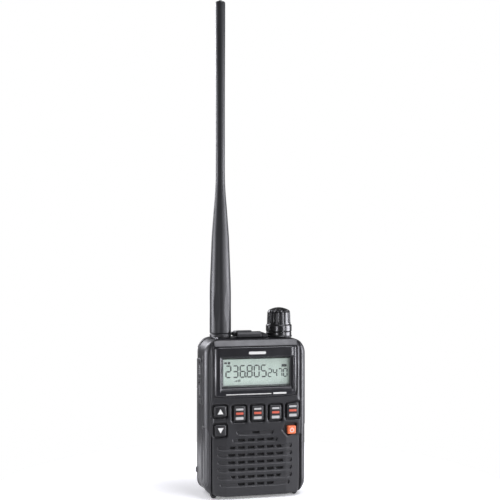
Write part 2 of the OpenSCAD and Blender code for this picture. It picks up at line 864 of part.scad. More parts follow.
module jack_cover_strap() {
    color("#2c2d30") lift() along_y(cap_y[0] + strap_inset, cap_y[1] - strap_inset)
        polygon([[strap_x[0], cap_z[0]], [strap_x[1], cap_z[0]], [strap_x[1], cap_z[0] + 1.2], [strap_x[0], cap_z[0] + 2.7]]);
}

module dc_jack() {
    color("#26272a") lift() difference() {
        union() {
            block([18.4, dc[1] - 3.5, dc[2] - 3.5], [inner_side - 0.1, dc[1] + 3.5, dc[2] + 3.5]);
            rod_x(dc[1], dc[2], dc_barrel_r, inner_side - 1, half_w - 0.55);
        }
        rod_x(dc[1], dc[2], dc_bore_r, 19.4, half_w);
    }
}

module dc_jack_pin() {
    color("#c9ccd0") lift() rod_x(dc[1], dc[2], 0.65, 19.4, half_w - 1.2);
}

module dc_jack_cover() {
    roll_r = 0.5;
    y0 = dc[1] - dc_cover_half_y;
    y1 = dc[1] + dc_cover_half_y;
    color("#2c2d30") lift() {
        block([dc_cover_x[0], y0, dc_cover_z[0]], [dc_cover_x[1], y1, dc_cover_z[1]]);
        rod_y((dc_cover_x[0] + dc_cover_x[1]) / 2, dc_cover_z[0], roll_r, y0, y1);
    }
}

// ---------- batteries ----------

// One AA cell, standing on its flat end, or on its nub when turned over
module cell(x, z, turned) {
    flat_z = turned ? z + cell_nub : z;
    nub_z = turned ? z : z + cell_len - eps;
    rod_z(x, cell_y, cell_r, flat_z, flat_z + cell_len);
    rod_z(x, cell_y, cell_nub_r, nub_z, nub_z + cell_nub + eps);
}

module battery_left() {
    color("#c9862f") lift() cell(-cell_x, left_cell_z, false);
}

module battery_right() {
    color("#c9862f") lift() cell(cell_x, right_cell_z, true);
}

// A tapering coil of wire along +Z, swept as one closed tube
module coil(r0, r1, height, wire, turns) {
    sides = 8;
    steps = ceil(turns * 14);
    rings = [for (i = [0 : steps]) let (t = i / steps, a = 360 * turns * t, r = r0 + (r1 - r0) * t)
        [for (j = [0 : sides - 1]) let (b = 360 * j / sides, q = r + wire * cos(b))
            [q * cos(a), q * sin(a), wire + (height - 2 * wire) * t + wire * sin(b)]]];
    skin = [for (i = [0 : steps - 1], j = [0 : sides - 1])
        let (k = (j + 1) % sides)
        [i * sides + j, i * sides + k, (i + 1) * sides + k, (i + 1) * sides + j]];
    ends = [[for (j = [sides - 1 : -1 : 0]) j], [for (j = [0 : sides - 1]) steps * sides + j]];
    polyhedron(points = [for (ring = rings) each ring], faces = concat(skin, ends), convexity = 6);
}

module battery_spring_left() {
    z = bridge_z + sheet + 0.05;
    color("#c9ccd0") lift() translate([-cell_x, cell_y, z])
        coil(5, 3, left_cell_z - z - 0.05, spring_wire, spring_turns);
}

module battery_spring_right() {
    z = right_cell_z + cell_nub + cell_len + 0.05;
    color("#c9ccd0") lift() translate([cell_x, cell_y, z])
        coil(3, 5, bay_z[1] - 0.55 - z, spring_wire, spring_turns);
}

module battery_bridge() {
    color("#c9ccd0") lift() block([-cell_x - 5.6, cell_y - 5.2, bridge_z], [cell_x + 5.6, cell_y + 5.2, bridge_z + sheet]);
}

module battery_terminals() {
    color("#c9ccd0") lift() for (s = [-1, 1])
        block([s * cell_x - 5.6, cell_y - 5.2, bay_z[1] - 0.5], [s * cell_x + 5.6, cell_y + 5.2, bay_z[1] - 0.1]);
}

// ---------- fasteners ----------

// A pan head screw along Y with a cross recess, its head's underside at y
module case_screw(x, z, y, len) {
    difference() {
        union() {
            rod_y(x, z, screw_head_r, y, y + 0.9);
            rod_y(x, z, screw_r - 0.15, y - len, y + eps);
        }
        block([x - 1.1, y + 0.5, z - 0.2], [x + 1.1, y + 1, z + 0.2]);
        block([x - 0.2, y + 0.5, z - 1.1], [x + 0.2, y + 1, z + 1.1]);
    }
}

module case_screws() {
    color("#8d8f92") lift() {
        for (p = LOW_SCREWS) case_screw(p[0], p[1], seam_y + bulkhead_t + 0.05, 10);
        for (p = HIGH_SCREWS) case_screw(p[0], p[1], back_y - 1.15, 16);
    }
}

module clip_inserts() {
    color("#d9b45a") lift() for (s = [-1, 1]) difference() {
        rod_y(s * insert_x, insert_z, insert_r, back_y - insert_len, back_y - 0.05);
        rod_y(s * insert_x, insert_z, insert_bore_r, back_y - insert_len + 0.6, back_y);
    }
}

module strap_bar() {
    color("#8d8f92") lift() rod_z(-27.2, (strap_y[0] + strap_y[1]) / 2, 0.75, strap_notch_z[0] - 1, strap_notch_z[1] + 1);
}

front_case();
rear_case();
battery_cover();
case_gasket();
display_panel();
lcd_window();
lcd_glass();
lcd_backlight();
lcd_holder();
key_up();
key_down();
key_band();
key_step();
key_mode();
key_memory();
key_power();
keypad_mat();
dome_switches();
side_key_pad();
side_key_upper();
side_key_lower();
side_key_board();
speaker_net();
speaker_frame();
speaker_cone();
speaker_magnet();
main_board();
rf_board();
shield_cans();
board_connector();
tuning_encoder();
encoder_shaft();
encoder_nut();
tuning_knob();
knob_collar();
antenna_jack();
antenna_jack_insulator();
antenna_jack_contact();
antenna_jack_nut();
antenna_sheath();
antenna_nut();
antenna_insulator();
antenna_pin();
antenna_element();
speaker_jack();
speaker_jack_cover();
jack_cover_strap();
dc_jack();
dc_jack_pin();
dc_jack_cover();
battery_left();
battery_right();
battery_spring_left();
battery_spring_right();
battery_bridge();
battery_terminals();
case_screws();
clip_inserts();
strap_bar();
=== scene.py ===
import math

import bmesh
import bpy
import numpy as np
from mathutils import Matrix, Vector


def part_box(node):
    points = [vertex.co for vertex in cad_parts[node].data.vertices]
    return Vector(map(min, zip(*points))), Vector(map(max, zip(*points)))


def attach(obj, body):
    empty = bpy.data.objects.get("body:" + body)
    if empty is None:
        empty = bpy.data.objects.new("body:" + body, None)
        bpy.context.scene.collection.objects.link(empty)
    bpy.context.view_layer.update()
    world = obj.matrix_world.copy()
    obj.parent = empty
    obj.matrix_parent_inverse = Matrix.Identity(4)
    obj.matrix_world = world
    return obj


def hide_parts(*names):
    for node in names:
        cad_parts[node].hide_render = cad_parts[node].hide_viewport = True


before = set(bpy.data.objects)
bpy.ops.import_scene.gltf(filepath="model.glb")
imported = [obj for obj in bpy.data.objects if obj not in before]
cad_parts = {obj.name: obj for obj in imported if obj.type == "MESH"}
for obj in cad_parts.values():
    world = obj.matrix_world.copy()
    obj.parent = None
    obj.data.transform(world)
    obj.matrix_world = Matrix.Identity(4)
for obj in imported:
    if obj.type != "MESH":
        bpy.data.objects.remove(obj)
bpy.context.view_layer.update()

# ---------------------------------------------------------------- sizes
# Shapes are worked out in millimetres, in the case's own coordinates: x and y as in the frame, and z above
# the case's bottom edge, which stands LIFT above the floor. put() turns them into metres in the frame.

MM = 0.001


def box_mm(node):
    """Lowest and highest corner of a CAD node, in the case's coordinates."""
    lo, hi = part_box(node)
    shift = np.array([0, 0, LIFT])
    return np.array(lo) / MM - shift, np.array(hi) / MM - shift


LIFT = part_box("rear_case")[0].z / MM
FRONT_LO, FRONT_HI = box_mm("front_case")
_, COVER_HI = box_mm("battery_cover")
PANEL_LO, PANEL_HI = box_mm("display_panel")
WINDOW_LO, WINDOW_HI = box_mm("lcd_window")
GLASS_LO, _ = box_mm("lcd_glass")
STRIP_LO, STRIP_HI = box_mm("side_key_pad")
LID_LO, LID_HI = box_mm("dc_jack_cover")
CAP_LO, CAP_HI = box_mm("speaker_jack_cover")
TAB_LO, TAB_HI = box_mm("jack_cover_strap")
KNOB_LO, KNOB_HI = box_mm("tuning_knob")
COLLAR_LO, COLLAR_HI = box_mm("knob_collar")
SHEATH_LO, SHEATH_HI = box_mm("antenna_sheath")

# The case
HALF_W = FRONT_HI[0]
FRONT_Y = FRONT_LO[1]
BACK_Y = -FRONT_Y
SEAM_Y = FRONT_HI[1]
BODY_H = FRONT_HI[2]
COVER_TOP = COVER_HI[2] + 0.2
RAISE = COVER_HI[1] - BACK_Y
WALL = 1.6
CORNER_R = 5.5
TOP_R = 8.2
BOTTOM_R = 8.0
EDGE_R = 1.0
BEVEL_H = 4.0
BEVEL_D = 3.0
POCKET_D = PANEL_HI[1] - FRONT_Y - 0.9
FOOT_X = 23.0
FRONT_FOOT_Y = -8.5
REAR_FOOT_Y = 8.9

# The front's relief. S is measured from the middle of the front, along the surface round the corner
LINE_S = 25.5
FACET_X = 16.8
FACET_TOP = 34.0
THUMB_S = 31.8
THUMB_Z = 22.0
CREASE_Y = -7.7
WEB_X = -20.4
WEB_Z = 41.9

# The battery bay and what sits on the back
BAY_X = 15.55
BAY_Y = -2.0
BAY_Z0 = 4.6
BAY_Z1 = 59.4
BAY_WALL = 1.2
HIGH_SCREWS = ((-9.8, 81.0), (7.4, 81.0))
LOW_SCREW = (22.6, 9.0)
CLIP_X = 10.0
CLIP_Z = 70.0
STRAP_Y = 10.3
STRAP_Z = 77.0
LABEL_Z = 18.5
RIB_Z = 38.6
RIB_PITCH = 2.6
RIBS = 5

# The display
PANEL_X = (PANEL_LO[0] + PANEL_HI[0]) / 2
VIEW_X, _, VIEW_Z = (WINDOW_LO + WINDOW_HI) / 2
VIEW_HALF_W = (WINDOW_HI[0] - WINDOW_LO[0]) / 2 - 2.4
VIEW_HALF_H = (WINDOW_HI[2] - WINDOW_LO[2]) / 2 - 2.4
WELL_SLOPE = 3.0 / (WINDOW_LO[1] - PANEL_LO[1])
WELL_SHIFT = 0.75
PANEL_SAG = 1.6
PANEL_FLAT = 19.9
PANEL_ROLL = 7.5
PANEL_BOW = 0.0014

# The front keys: centre x, centre z, width and height of each hole
FLANGE = 0.5
KEY_GAP = 0.75
KEY_ROUND = 1.5
KEY_TILT = {"key_memory": 0.15}
KEY_NAMES = ("key_up", "key_down", "key_band", "key_step", "key_mode", "key_memory", "key_power")
POWER_CAP = (20.1, 35.5)
SIDE_KEYS = ("side_key_upper", "side_key_lower")


def key_place(name):
    lo, hi = box_mm(name)
    return (lo[0] + hi[0]) / 2, (lo[2] + hi[2]) / 2, hi[0] - lo[0] - 2 * FLANGE, hi[2] - lo[2] - 2 * FLANGE


KEY_HOLES = {name: key_place(name) for name in KEY_NAMES}
KEY_Y = box_mm("key_up")[0][1]

# The grille
GRILLE_X = -0.3
GRILLE_Z = 19.3
GRILLE_R = 16.3
GRILLE_TOP = 34.9
ROW_PITCH = 4.03
SLOT_PITCH = 5.43
SLOT_W = 3.9
SLOT_H = 1.25
GROOVE_HALF = (10.5, 12.9, 21.1, 21.1, 21.1, 21.1, 21.1, 19.8)

# The side keys, the power socket and what stands on top
_, STRIP_Y, STRIP_Z = (STRIP_LO + STRIP_HI) / 2
STRIP_HALF_Y = (STRIP_HI[1] - STRIP_LO[1]) / 2
STRIP_HALF_Z = (STRIP_HI[2] - STRIP_LO[2]) / 2
HINGE_ROLL = 0.5
DC_Y = (LID_LO[1] + LID_HI[1]) / 2
DC_Z = (LID_LO[2] + HINGE_ROLL + LID_HI[2]) / 2
DC_HALF_Y = (LID_HI[1] - LID_LO[1]) / 2
DC_HALF_Z = (LID_HI[2] - LID_LO[2] - HINGE_ROLL) / 2
DC_AXIS_Z = 68.0
DIAL_X, TOP_Y, _ = (KNOB_LO + KNOB_HI) / 2
ANTENNA_X = (SHEATH_LO[0] + SHEATH_HI[0]) / 2
PHONES_X = -3.0

# ---------------------------------------------------------------- distance fields


def soft_max(a, b, r):
    """The larger of two distances, with the edge where they meet rounded to about radius r."""
    if r <= 0:
        return np.maximum(a, b)
    h = np.maximum(r - np.abs(a - b), 0.0) / r
    return np.maximum(a, b) + h * h * r * 0.25


def soft_min(a, b, r):
    return -soft_max(-a, -b, r)


def ramp(v, lo, hi):
    """0 below lo and 1 above hi, smooth between them."""
    t = np.clip((v - lo) / (hi - lo), 0.0, 1.0)
    return t * t * (3 - 2 * t)


def rect2(u, v, half_u, half_v, r):
    """Distance to a rectangle with round corners, centred at 0."""
    du = np.abs(u) - half_u + r
    dv = np.abs(v) - half_v + r
    outside = np.hypot(np.maximum(du, 0.0), np.maximum(dv, 0.0))
    return outside + np.minimum(np.maximum(du, dv), 0.0) - r


def polygon2(u, v, points):
    """Distance to a closed polygon, negative inside."""
    best = None
    inside = None
    count = len(points)
    for i in range(count):
        ax, ay = points[i]
        bx, by = points[(i + 1) % count]
        ex, ey = bx - ax, by - ay
        wu, wv = u - ax, v - ay
        t = np.clip((wu * ex + wv * ey) / (ex * ex + ey * ey), 0.0, 1.0)
        d = (wu - ex * t) ** 2 + (wv - ey * t) ** 2
        best = d if best is None else np.minimum(best, d)
        crosses = (v >= ay) != (v >= by)
        left = (wu * ey - wv * ex) * np.sign(ey) < 0
        flip = crosses & left
        inside = flip if inside is None else inside ^ flip
    return np.where(inside, -1.0, 1.0) * np.sqrt(best)


def box3(x, y, z, lo, hi, r):
    """Distance to a box with edges rounded to r."""
    d = [np.abs(c - (a + b) / 2) - (b - a) / 2 + r for c, a, b in zip((x, y, z), lo, hi)]
    outside = np.sqrt(sum(np.maximum(e, 0.0) ** 2 for e in d))
    return outside + np.minimum(np.maximum(np.maximum(d[0], d[1]), d[2]), 0.0) - r


def nets(field, xs, ys, zs, polish=3):
    """Points and faces of the closed quad mesh of field = 0 on a grid, polished onto the surface."""
    grid = [np.asarray(a, np.float64) for a in (xs, ys, zs)]
    shape = tuple(len(a) for a in grid)
    value = field(grid[0][:, None, None], grid[1][None, :, None], grid[2][None, None, :])
    value = np.broadcast_to(value, shape).astype(np.float32)
    inner = value < 0
    cells = tuple(n - 1 for n in shape)
    total = int(np.prod(cells))
    sums = np.zeros((3, total))
    count = np.zeros(total)
    quads = []
    for axis in range(3):
        others = [a for a in range(3) if a != axis]
        low = [slice(None)] * 3
        high = [slice(None)] * 3
        low[axis] = slice(0, -1)
        high[axis] = slice(1, None)
        a, b = value[tuple(low)], value[tuple(high)]
        at = np.argwhere(inner[tuple(low)] != inner[tuple(high)])
        if not len(at):
            continue
        i = tuple(at.T)
        t = a[i] / (a[i] - b[i])
        place = [grid[k][at[:, k]] for k in range(3)]
        step = grid[axis][at[:, axis] + 1] - grid[axis][at[:, axis]]
        place[axis] = place[axis] + t * step
        ring = []
        whole = np.ones(len(at), bool)
        for du, dv in ((-1, -1), (0, -1), (0, 0), (-1, 0)):
            cell = at.copy()
            cell[:, others[0]] += du
            cell[:, others[1]] += dv
            good = ((cell >= 0) & (cell < np.array(cells))).all(1)
            whole &= good
            flat = np.ravel_multi_index(tuple(np.where(good[:, None], cell, 0).T), cells)
            for k in range(3):
                sums[k] += np.bincount(flat[good], weights=place[k][good], minlength=total)
            count += np.bincount(flat[good], minlength=total)
            ring.append(flat)
        ring = np.stack(ring, 1)[whole]
        turn = (a[i] < 0)[whole] ^ (axis == 1)
        quads.append(np.where(turn[:, None], ring, ring[:, ::-1]))
    quads = np.concatenate(quads)
    used = np.flatnonzero(count)
    index = np.full(total, -1)
    index[used] = np.arange(len(used))
    points = (sums[:, used] / count[used]).T
    for _ in range(polish):
        points = onto(field, points)
    return points, index[quads]


def onto(field, points, reach=0.3, h=0.02):
    """Points moved along the field's slope towards field = 0."""
    here = field(*points.T)
    slope = np.stack(
        [(field(*(points + e).T) - field(*(points - e).T)) / (2 * h) for e in np.eye(3) * h], 1)
    size = np.maximum((slope ** 2).sum(1), 0.05)
    return points - np.clip(here / size, -reach, reach)[:, None] * slope


def steps(lo, hi, step):
    """Evenly spaced grid lines from lo to hi, no further apart than step."""
    return np.linspace(lo, hi, int(math.ceil((hi - lo) / step)) + 1)


def lines(*spans):
    """Grid lines over neighbouring spans, each as (lo, hi, step)."""
    return np.unique(np.round(np.concatenate([steps(*s) for s in spans]), 6))


# ---------------------------------------------------------------- making objects


def put(name, points, faces, material):
    """A mesh object in the frame's metres, from points in case millimetres."""
    mesh = bpy.data.meshes.new(name)
    co = (np.asarray(points, float) + np.array([0, 0, LIFT])) * MM
    mesh.from_pydata(co.tolist(), [], [list(map(int, f)) for f in faces])
    mesh.update()
    mesh.polygons.foreach_set("use_smooth", [True] * len(mesh.polygons))
    piece = bpy.data.objects.new(name, mesh)
    bpy.context.scene.collection.objects.link(piece)
    mesh.materials.append(material)
    return piece


def refine(piece, field, keep):
    """Thins a dense mesh to a share of its faces, keeps it on the surface, and shades it by the field."""
    if keep < 1:
        thin = piece.modifiers.new("thin", "DECIMATE")
        thin.ratio = keep
        shaped = bpy.data.meshes.new_from_object(piece.evaluated_get(bpy.context.evaluated_depsgraph_get()))
        piece.modifiers.clear()
        piece.data = shaped
    mesh = piece.data
    co = np.zeros(len(mesh.vertices) * 3)
    mesh.vertices.foreach_get("co", co)
    points = co.reshape(-1, 3) / MM - np.array([0, 0, LIFT])
    if keep < 1:
        points = onto(field, points, 0.05)
        mesh.vertices.foreach_set("co", ((points + np.array([0, 0, LIFT])) * MM).ravel())
    h = 0.04
    slope = np.stack([field(*(points + e).T) - field(*(points - e).T) for e in np.eye(3) * h], 1)
    slope /= np.maximum(np.linalg.norm(slope, axis=1, keepdims=True), 1e-9)
    mesh.polygons.foreach_set("use_smooth", [True] * len(mesh.polygons))
    mesh.normals_split_custom_set_from_vertices(slope.tolist())
    mesh.update()


def moulded(name, field, grid, body, material, nodes, keep=1.0):
    """A piece whose surface is field = 0 on a grid of three lists of lines. It stands for CAD nodes."""
    points, faces = nets(field, *grid)
    piece = put(name, points, faces, material)
    refine(piece, field, keep)
    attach(piece, body)
    if nodes:
        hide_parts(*nodes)


def turned(name, profile, segments, shift, axis, body, material, nodes, dent=None):
    """A piece turned about an upright axis from a profile of (radius, z), dented by dent(angle, radius, z).

    A profile that ends away from the axis is a ring and is closed back to its first point.
    """
    profile = np.array(profile, float)
    angle = np.arange(segments) * 2 * math.pi / segments
    along = np.gradient(profile, axis=0)
    along /= np.maximum(np.linalg.norm(along, axis=1, keepdims=True), 1e-9)
    out = np.stack([along[:, 1], -along[:, 0]], 1)
    points = []
    for k, (r, z) in enumerate(profile):
        depth = dent(angle, r, z) if dent else np.zeros(segments)
        rr = np.maximum(r - out[k, 0] * depth, 0)
        zz = z - out[k, 1] * depth
        points.append(np.stack([axis[0] + rr * np.cos(angle + shift), axis[1] + rr * np.sin(angle + shift),
                                np.broadcast_to(zz, rr.shape)], 1))
    count = len(profile)
    faces = [(k * segments + i, k * segments + (i + 1) % segments,
              (k + 1) * segments + (i + 1) % segments, (k + 1) * segments + i)
             for k in range(count - 1) for i in range(segments)]
    last = (count - 1) * segments
    if profile[-1, 0] > 0.1:
        faces += [(last + i, last + (i + 1) % segments, (i + 1) % segments, i) for i in range(segments)]
    else:
        faces.append(list(range(segments))[::-1])
        faces.append([last + i for i in range(segments)])
    piece = put(name, np.concatenate(points), faces, material)
    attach(piece, body)
    if nodes:
        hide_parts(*nodes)


def plates(name, outlines, height, thick, body, material, cell=0.6):
    """Thin printed shapes: closed outlines in x and z, laid in front of the surface y = height(x, z)."""
    made = bmesh.new()
    for outline in outlines:
        part = bmesh.new()
        part.faces.new([part.verts.new((x, 0, z)) for x, z in outline])
        lo = np.min(outline, axis=0)
        hi = np.max(outline, axis=0)
        for side, normal in ((0, (1, 0, 0)), (1, (0, 0, 1))):
            for at in np.arange(lo[side] + cell, hi[side] - cell / 3, cell):
                spot = (at, 0, 0) if side == 0 else (0, 0, at)
                geom = part.verts[:] + part.edges[:] + part.faces[:]
                bmesh.ops.bisect_plane(part, geom=geom, plane_co=spot, plane_no=normal)
        back = bmesh.ops.duplicate(part, geom=part.verts[:] + part.edges[:] + part.faces[:])
        behind = {v for v in back["geom"] if isinstance(v, bmesh.types.BMVert)}
        rim = [e for e in part.edges if e.is_boundary]
        bmesh.ops.bridge_loops(part, edges=rim)
        for v in part.verts:
            v.co.y = float(height(v.co.x, v.co.z)) - (0 if v in behind else thick)
        bmesh.ops.recalc_face_normals(part, faces=part.faces[:])
        spare = bpy.data.meshes.new("spare")
        part.to_mesh(spare)
        made.from_mesh(spare)
        bpy.data.meshes.remove(spare)
        part.free()
    mesh = bpy.data.meshes.new(name)
    made.to_mesh(mesh)
    made.free()
    mesh.transform(Matrix.Diagonal((MM, MM, MM, 1)) @ Matrix.Translation((0, 0, LIFT)))
    piece = bpy.data.objects.new(name, mesh)
    bpy.context.scene.collection.objects.link(piece)
    mesh.materials.append(material)
    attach(piece, body)


# ---------------------------------------------------------------- materials


def node(tree, kind, **values):
    """A shader node with its properties and inputs set by name."""
    made = tree.nodes.new(kind)
    for key, value in values.items():
        if hasattr(made, key):
            setattr(made, key, value)
        else:
            made.inputs[key.replace("_", " ")].default_value = value
    return made


def noise(tree, where, scale, detail=3.0, stretch=(1, 1, 1)):
    """Noise over the object's own space. scale is in features a metre."""
    place = node(tree, "ShaderNodeMapping")
    place.inputs["Scale"].default_value = stretch
    tree.links.new(where, place.inputs["Vector"])
    cloud = node(tree, "ShaderNodeTexNoise", Scale=scale, Detail=detail, Roughness=0.55)
    tree.links.new(place.outputs["Vector"], cloud.inputs["Vector"])
    return cloud.outputs["Fac"]


def spread(tree, value, low, high, start=0.3, stop=0.7):
    """A number or colour that runs from low to high as value runs from start to stop."""
    run = node(tree, "ShaderNodeValToRGB")
    for element, at, tone in zip(run.color_ramp.elements, (start, stop), (low, high)):
        element.position = at
        element.color = (*tone, 1) if isinstance(tone, tuple) else (tone, tone, tone, 1)
    tree.links.new(value, run.inputs["Fac"])
    return run.outputs["Color"]


def finish(name, colour, rough, mottle=0.08, cloud_scale=220, rough_spread=0.06, grain=0.12,
           grain_scale=2600, grain_depth=0.00003, stretch=(1, 1, 1), **sockets):
    """Plastic, rubber, metal or ink: colour and gloss that vary a little, and a fine surface grain."""
    made = bpy.data.materials.new(name)
    made.use_nodes = True
    tree = made.node_tree
    shader = tree.nodes["Principled BSDF"]
    where = node(tree, "ShaderNodeTexCoord").outputs["Object"]
    cloud = noise(tree, where, cloud_scale, 4.0, stretch)
    low = tuple(c * (1 - mottle) for c in colour)
    high = tuple(min(c * (1 + mottle), 1) for c in colour)
    tree.links.new(spread(tree, cloud, low, high), shader.inputs["Base Color"])
    smear = noise(tree, where, cloud_scale * 0.45, 3.0, stretch)
    gloss = spread(tree, smear, max(rough - rough_spread, 0.02), min(rough + rough_spread, 1.0))
    tree.links.new(gloss, shader.inputs["Roughness"])
    if grain > 0:
        fine = noise(tree, where, grain_scale, 2.0, stretch)
        bump = node(tree, "ShaderNodeBump", Strength=grain, Distance=grain_depth)
        tree.links.new(fine, bump.inputs["Height"])
        tree.links.new(bump.outputs["Normal"], shader.inputs["Normal"])
    for key, value in sockets.items():
        shader.inputs[key.replace("_", " ")].default_value = value
    return made


def tone(red, green, blue):
    """A colour given as it looks on a screen, 0 to 255, turned into light."""
    light = []
    for c in (red, green, blue):
        light.append(((c / 255 + 0.055) / 1.055) ** 2.4 if c > 10 else c / 255 / 12.92)
    return tuple(light)


CASE = finish("moulded_case", tone(25, 25, 28), 0.38, grain=0.5, grain_scale=3200)
REAR = finish("moulded_rear", tone(25, 25, 27), 0.42, grain=0.6, grain_scale=3000)
PANEL = finish("satin_panel", tone(32, 32, 35), 0.22, grain=0.15, grain_scale=2600)
KEYCAP = finish("key_rubber", tone(18, 18, 21), 0.42, grain=0.2, grain_scale=2400)
ORANGE = finish("power_rubber", tone(236, 110, 62), 0.42, mottle=0.04, grain=0.15, Subsurface_Weight=0.1)
RUBBER = finish("soft_rubber", tone(27, 27, 29), 0.5, grain=0.4, grain_scale=3400)
WHIP = finish("antenna_rubber", tone(25, 26, 28), 0.42, grain=0.3, grain_scale=2600, stretch=(1, 1, 0.3))
GLOSS = finish("gloss_dial", tone(14, 14, 16), 0.32, grain=0.05, rough_spread=0.03, Coat_Weight=0.15)
WHITE_INK = finish("white_ink", tone(214, 214, 210), 0.5, mottle=0.03, grain=0.2)
PALE_INK = finish("pale_ink", tone(176, 176, 174), 0.5, mottle=0.05, grain=0.2)
ORANGE_INK = finish("orange_ink", tone(196, 84, 62), 0.5, mottle=0.05, grain=0.2)
LCD_INK = finish("lcd_segment", tone(24, 30, 27), 0.35, mottle=0.04, grain=0.0)
LCD = finish("lcd_glass", tone(196, 212, 200), 0.28, mottle=0.015, cloud_scale=400, grain=0.05)
STEEL = finish("nickel_steel", (0.56, 0.56, 0.57), 0.28, mottle=0.05, Metallic=1.0, grain=0.1)
BRASS = finish("nickel_brass", (0.62, 0.46, 0.22), 0.26, mottle=0.08, Metallic=1.0, grain=0.1)
IVORY = finish("ivory_plastic", tone(236, 233, 222), 0.4, mottle=0.03, grain=0.1)
BLACK = finish("black_plastic", tone(34, 34, 36), 0.4, grain=0.2)
BOARD = finish("solder_mask", tone(32, 92, 58), 0.32, mottle=0.15, cloud_scale=700, grain=0.2)
CELL = finish("cell_wrap", tone(196, 132, 52), 0.3, mottle=0.03, grain=0.05, Metallic=0.3)
CONE = finish("paper_cone", tone(38, 38, 40), 0.8, mottle=0.2, cloud_scale=900, grain=0.5)
DIFFUSER = finish("diffuser", tone(228, 234, 226), 0.5, mottle=0.02, grain=0.1)


def woven(name, colour, thread):
    """Fine speaker cloth: threads that cross, drawn by two wave patterns."""
    made = finish(name, colour, 0.8, grain=0.0)
    tree = made.node_tree
    shader = tree.nodes["Principled BSDF"]
    where = tree.nodes["Texture Coordinate"].outputs["Object"]
    waves = []
    for side in ("X", "Z"):
        wave = node(tree, "ShaderNodeTexWave", bands_direction=side, Scale=0.314 / thread)
        tree.links.new(where, wave.inputs["Vector"])
        waves.append(wave.outputs["Fac"])
    both = node(tree, "ShaderNodeMath", operation="MULTIPLY")
    for wave, socket in zip(waves, both.inputs):
        tree.links.new(wave, socket)
    bump = node(tree, "ShaderNodeBump", Strength=0.8, Distance=0.0001)
    tree.links.new(both.outputs[0], bump.inputs["Height"])
    tree.links.new(bump.outputs["Normal"], shader.inputs["Normal"])
    return made


def clear_window(name):
    """A thin clear plastic window with a faint smoky tint and soft wiping marks."""
    made = finish(name, tone(200, 208, 202), 0.12, mottle=0.02, grain=0.0, rough_spread=0.05)
    made.node_tree.nodes["Principled BSDF"].inputs["Alpha"].default_value = 0.08
    return made


NET = woven("speaker_cloth", tone(7, 7, 8), 0.0004)
WINDOW = clear_window("display_window")

NODE_FINISH = {
    "case_gasket": RUBBER, "lcd_window": WINDOW, "lcd_glass": LCD, "lcd_backlight": DIFFUSER,
    "lcd_holder": IVORY, "keypad_mat": RUBBER, "dome_switches": STEEL, "side_key_board": BOARD,
    "speaker_net": NET, "speaker_frame": STEEL, "speaker_cone": CONE, "speaker_magnet": STEEL,
    "main_board": BOARD, "rf_board": BOARD, "shield_cans": STEEL, "board_connector": IVORY,
    "tuning_encoder": STEEL, "encoder_shaft": STEEL, "encoder_nut": STEEL, "antenna_jack": BRASS,
    "antenna_jack_insulator": IVORY, "antenna_jack_contact": BRASS, "antenna_jack_nut": STEEL,
    "antenna_nut": BRASS, "antenna_insulator": IVORY, "antenna_pin": BRASS, "antenna_element": STEEL,
    "speaker_jack": BLACK, "dc_jack": BLACK, "dc_jack_pin": STEEL, "battery_left": CELL,
    "battery_right": CELL, "battery_spring_left": STEEL, "battery_spring_right": STEEL,
    "battery_bridge": STEEL, "battery_terminals": STEEL, "case_screws": STEEL, "clip_inserts": BRASS,
    "strap_bar": STEEL,
}
for name, material in NODE_FINISH.items():
    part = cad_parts[name]
    part.data.materials.clear()
    part.data.materials.append(material)


# ---------------------------------------------------------------- the case


def body(x, y, z, proud=0.0):
    """Distance to the case's closed outer form. proud lifts the sloped facets along the top."""
    r = np.where(z > BODY_H / 2, TOP_R, BOTTOM_R - 2.4 * ramp(y, 0.0, 12.0))
    du = np.abs(x) - HALF_W + r
    dv = np.abs(z - BODY_H / 2) - BODY_H / 2 + r
    reach = np.hypot(np.maximum(du, 0.0), np.maximum(dv, 0.0))
    side = reach + np.minimum(np.maximum(du, dv), 0.0) - r
    sideways = np.where(dv <= 0, 1.0, np.maximum(du, 0.0) / np.maximum(reach, 1e-6))
    fillet = EDGE_R + (np.minimum(CORNER_R, r) - EDGE_R) * ramp(sideways, 0.0, 1.0)
    a = side + fillet
    b = np.abs(y) - BACK_Y + fillet
    form = np.hypot(np.maximum(a, 0.0), np.maximum(b, 0.0)) + np.minimum(np.maximum(a, b), 0.0) - fillet
    slant = math.hypot(BEVEL_H, BEVEL_D)
    bevel = (BEVEL_H * (np.abs(y) - BACK_Y) + BEVEL_D * (z - BODY_H + BEVEL_H)) / slant
    return soft_max(form, bevel - proud, 0.7)


def around(x, y):
    """How far a point lies from the middle of the front or back, along the surface round the corner."""
    over = np.abs(x) - HALF_W + CORNER_R
    deep = BACK_Y - CORNER_R - np.abs(y)
    turn = np.arctan2(np.maximum(over, 0.0), np.maximum(-deep, 1e-6))
    return HALF_W - CORNER_R + np.where(over > 0, CORNER_R * turn, over) + np.maximum(deep, 0.0)


def key_hole(x, z, name):
    """Distance to the outline of a front key's hole."""
    cx, cz, w, h = KEY_HOLES[name]
    if name == "key_power":
        w, h = w / 2, h / 2
        corners = [(-w, -0.4), (-w + 2.4, -h), (w - 0.7, -h + 0.8), (w, h - 0.3), (w - 0.6, h),
                   (-w + 1.4, h - 0.3)]
        return polygon2(x - cx, z - cz, [(a * 0.9, b * 0.9) for a, b in corners]) - 0.35
    tilt = KEY_TILT.get(name, 0.0) * (x - cx) * np.clip((z - cz) / h + 0.5, 0.0, 1.0)
    return rect2(x - cx, z - cz - tilt, w / 2, h / 2, KEY_ROUND)


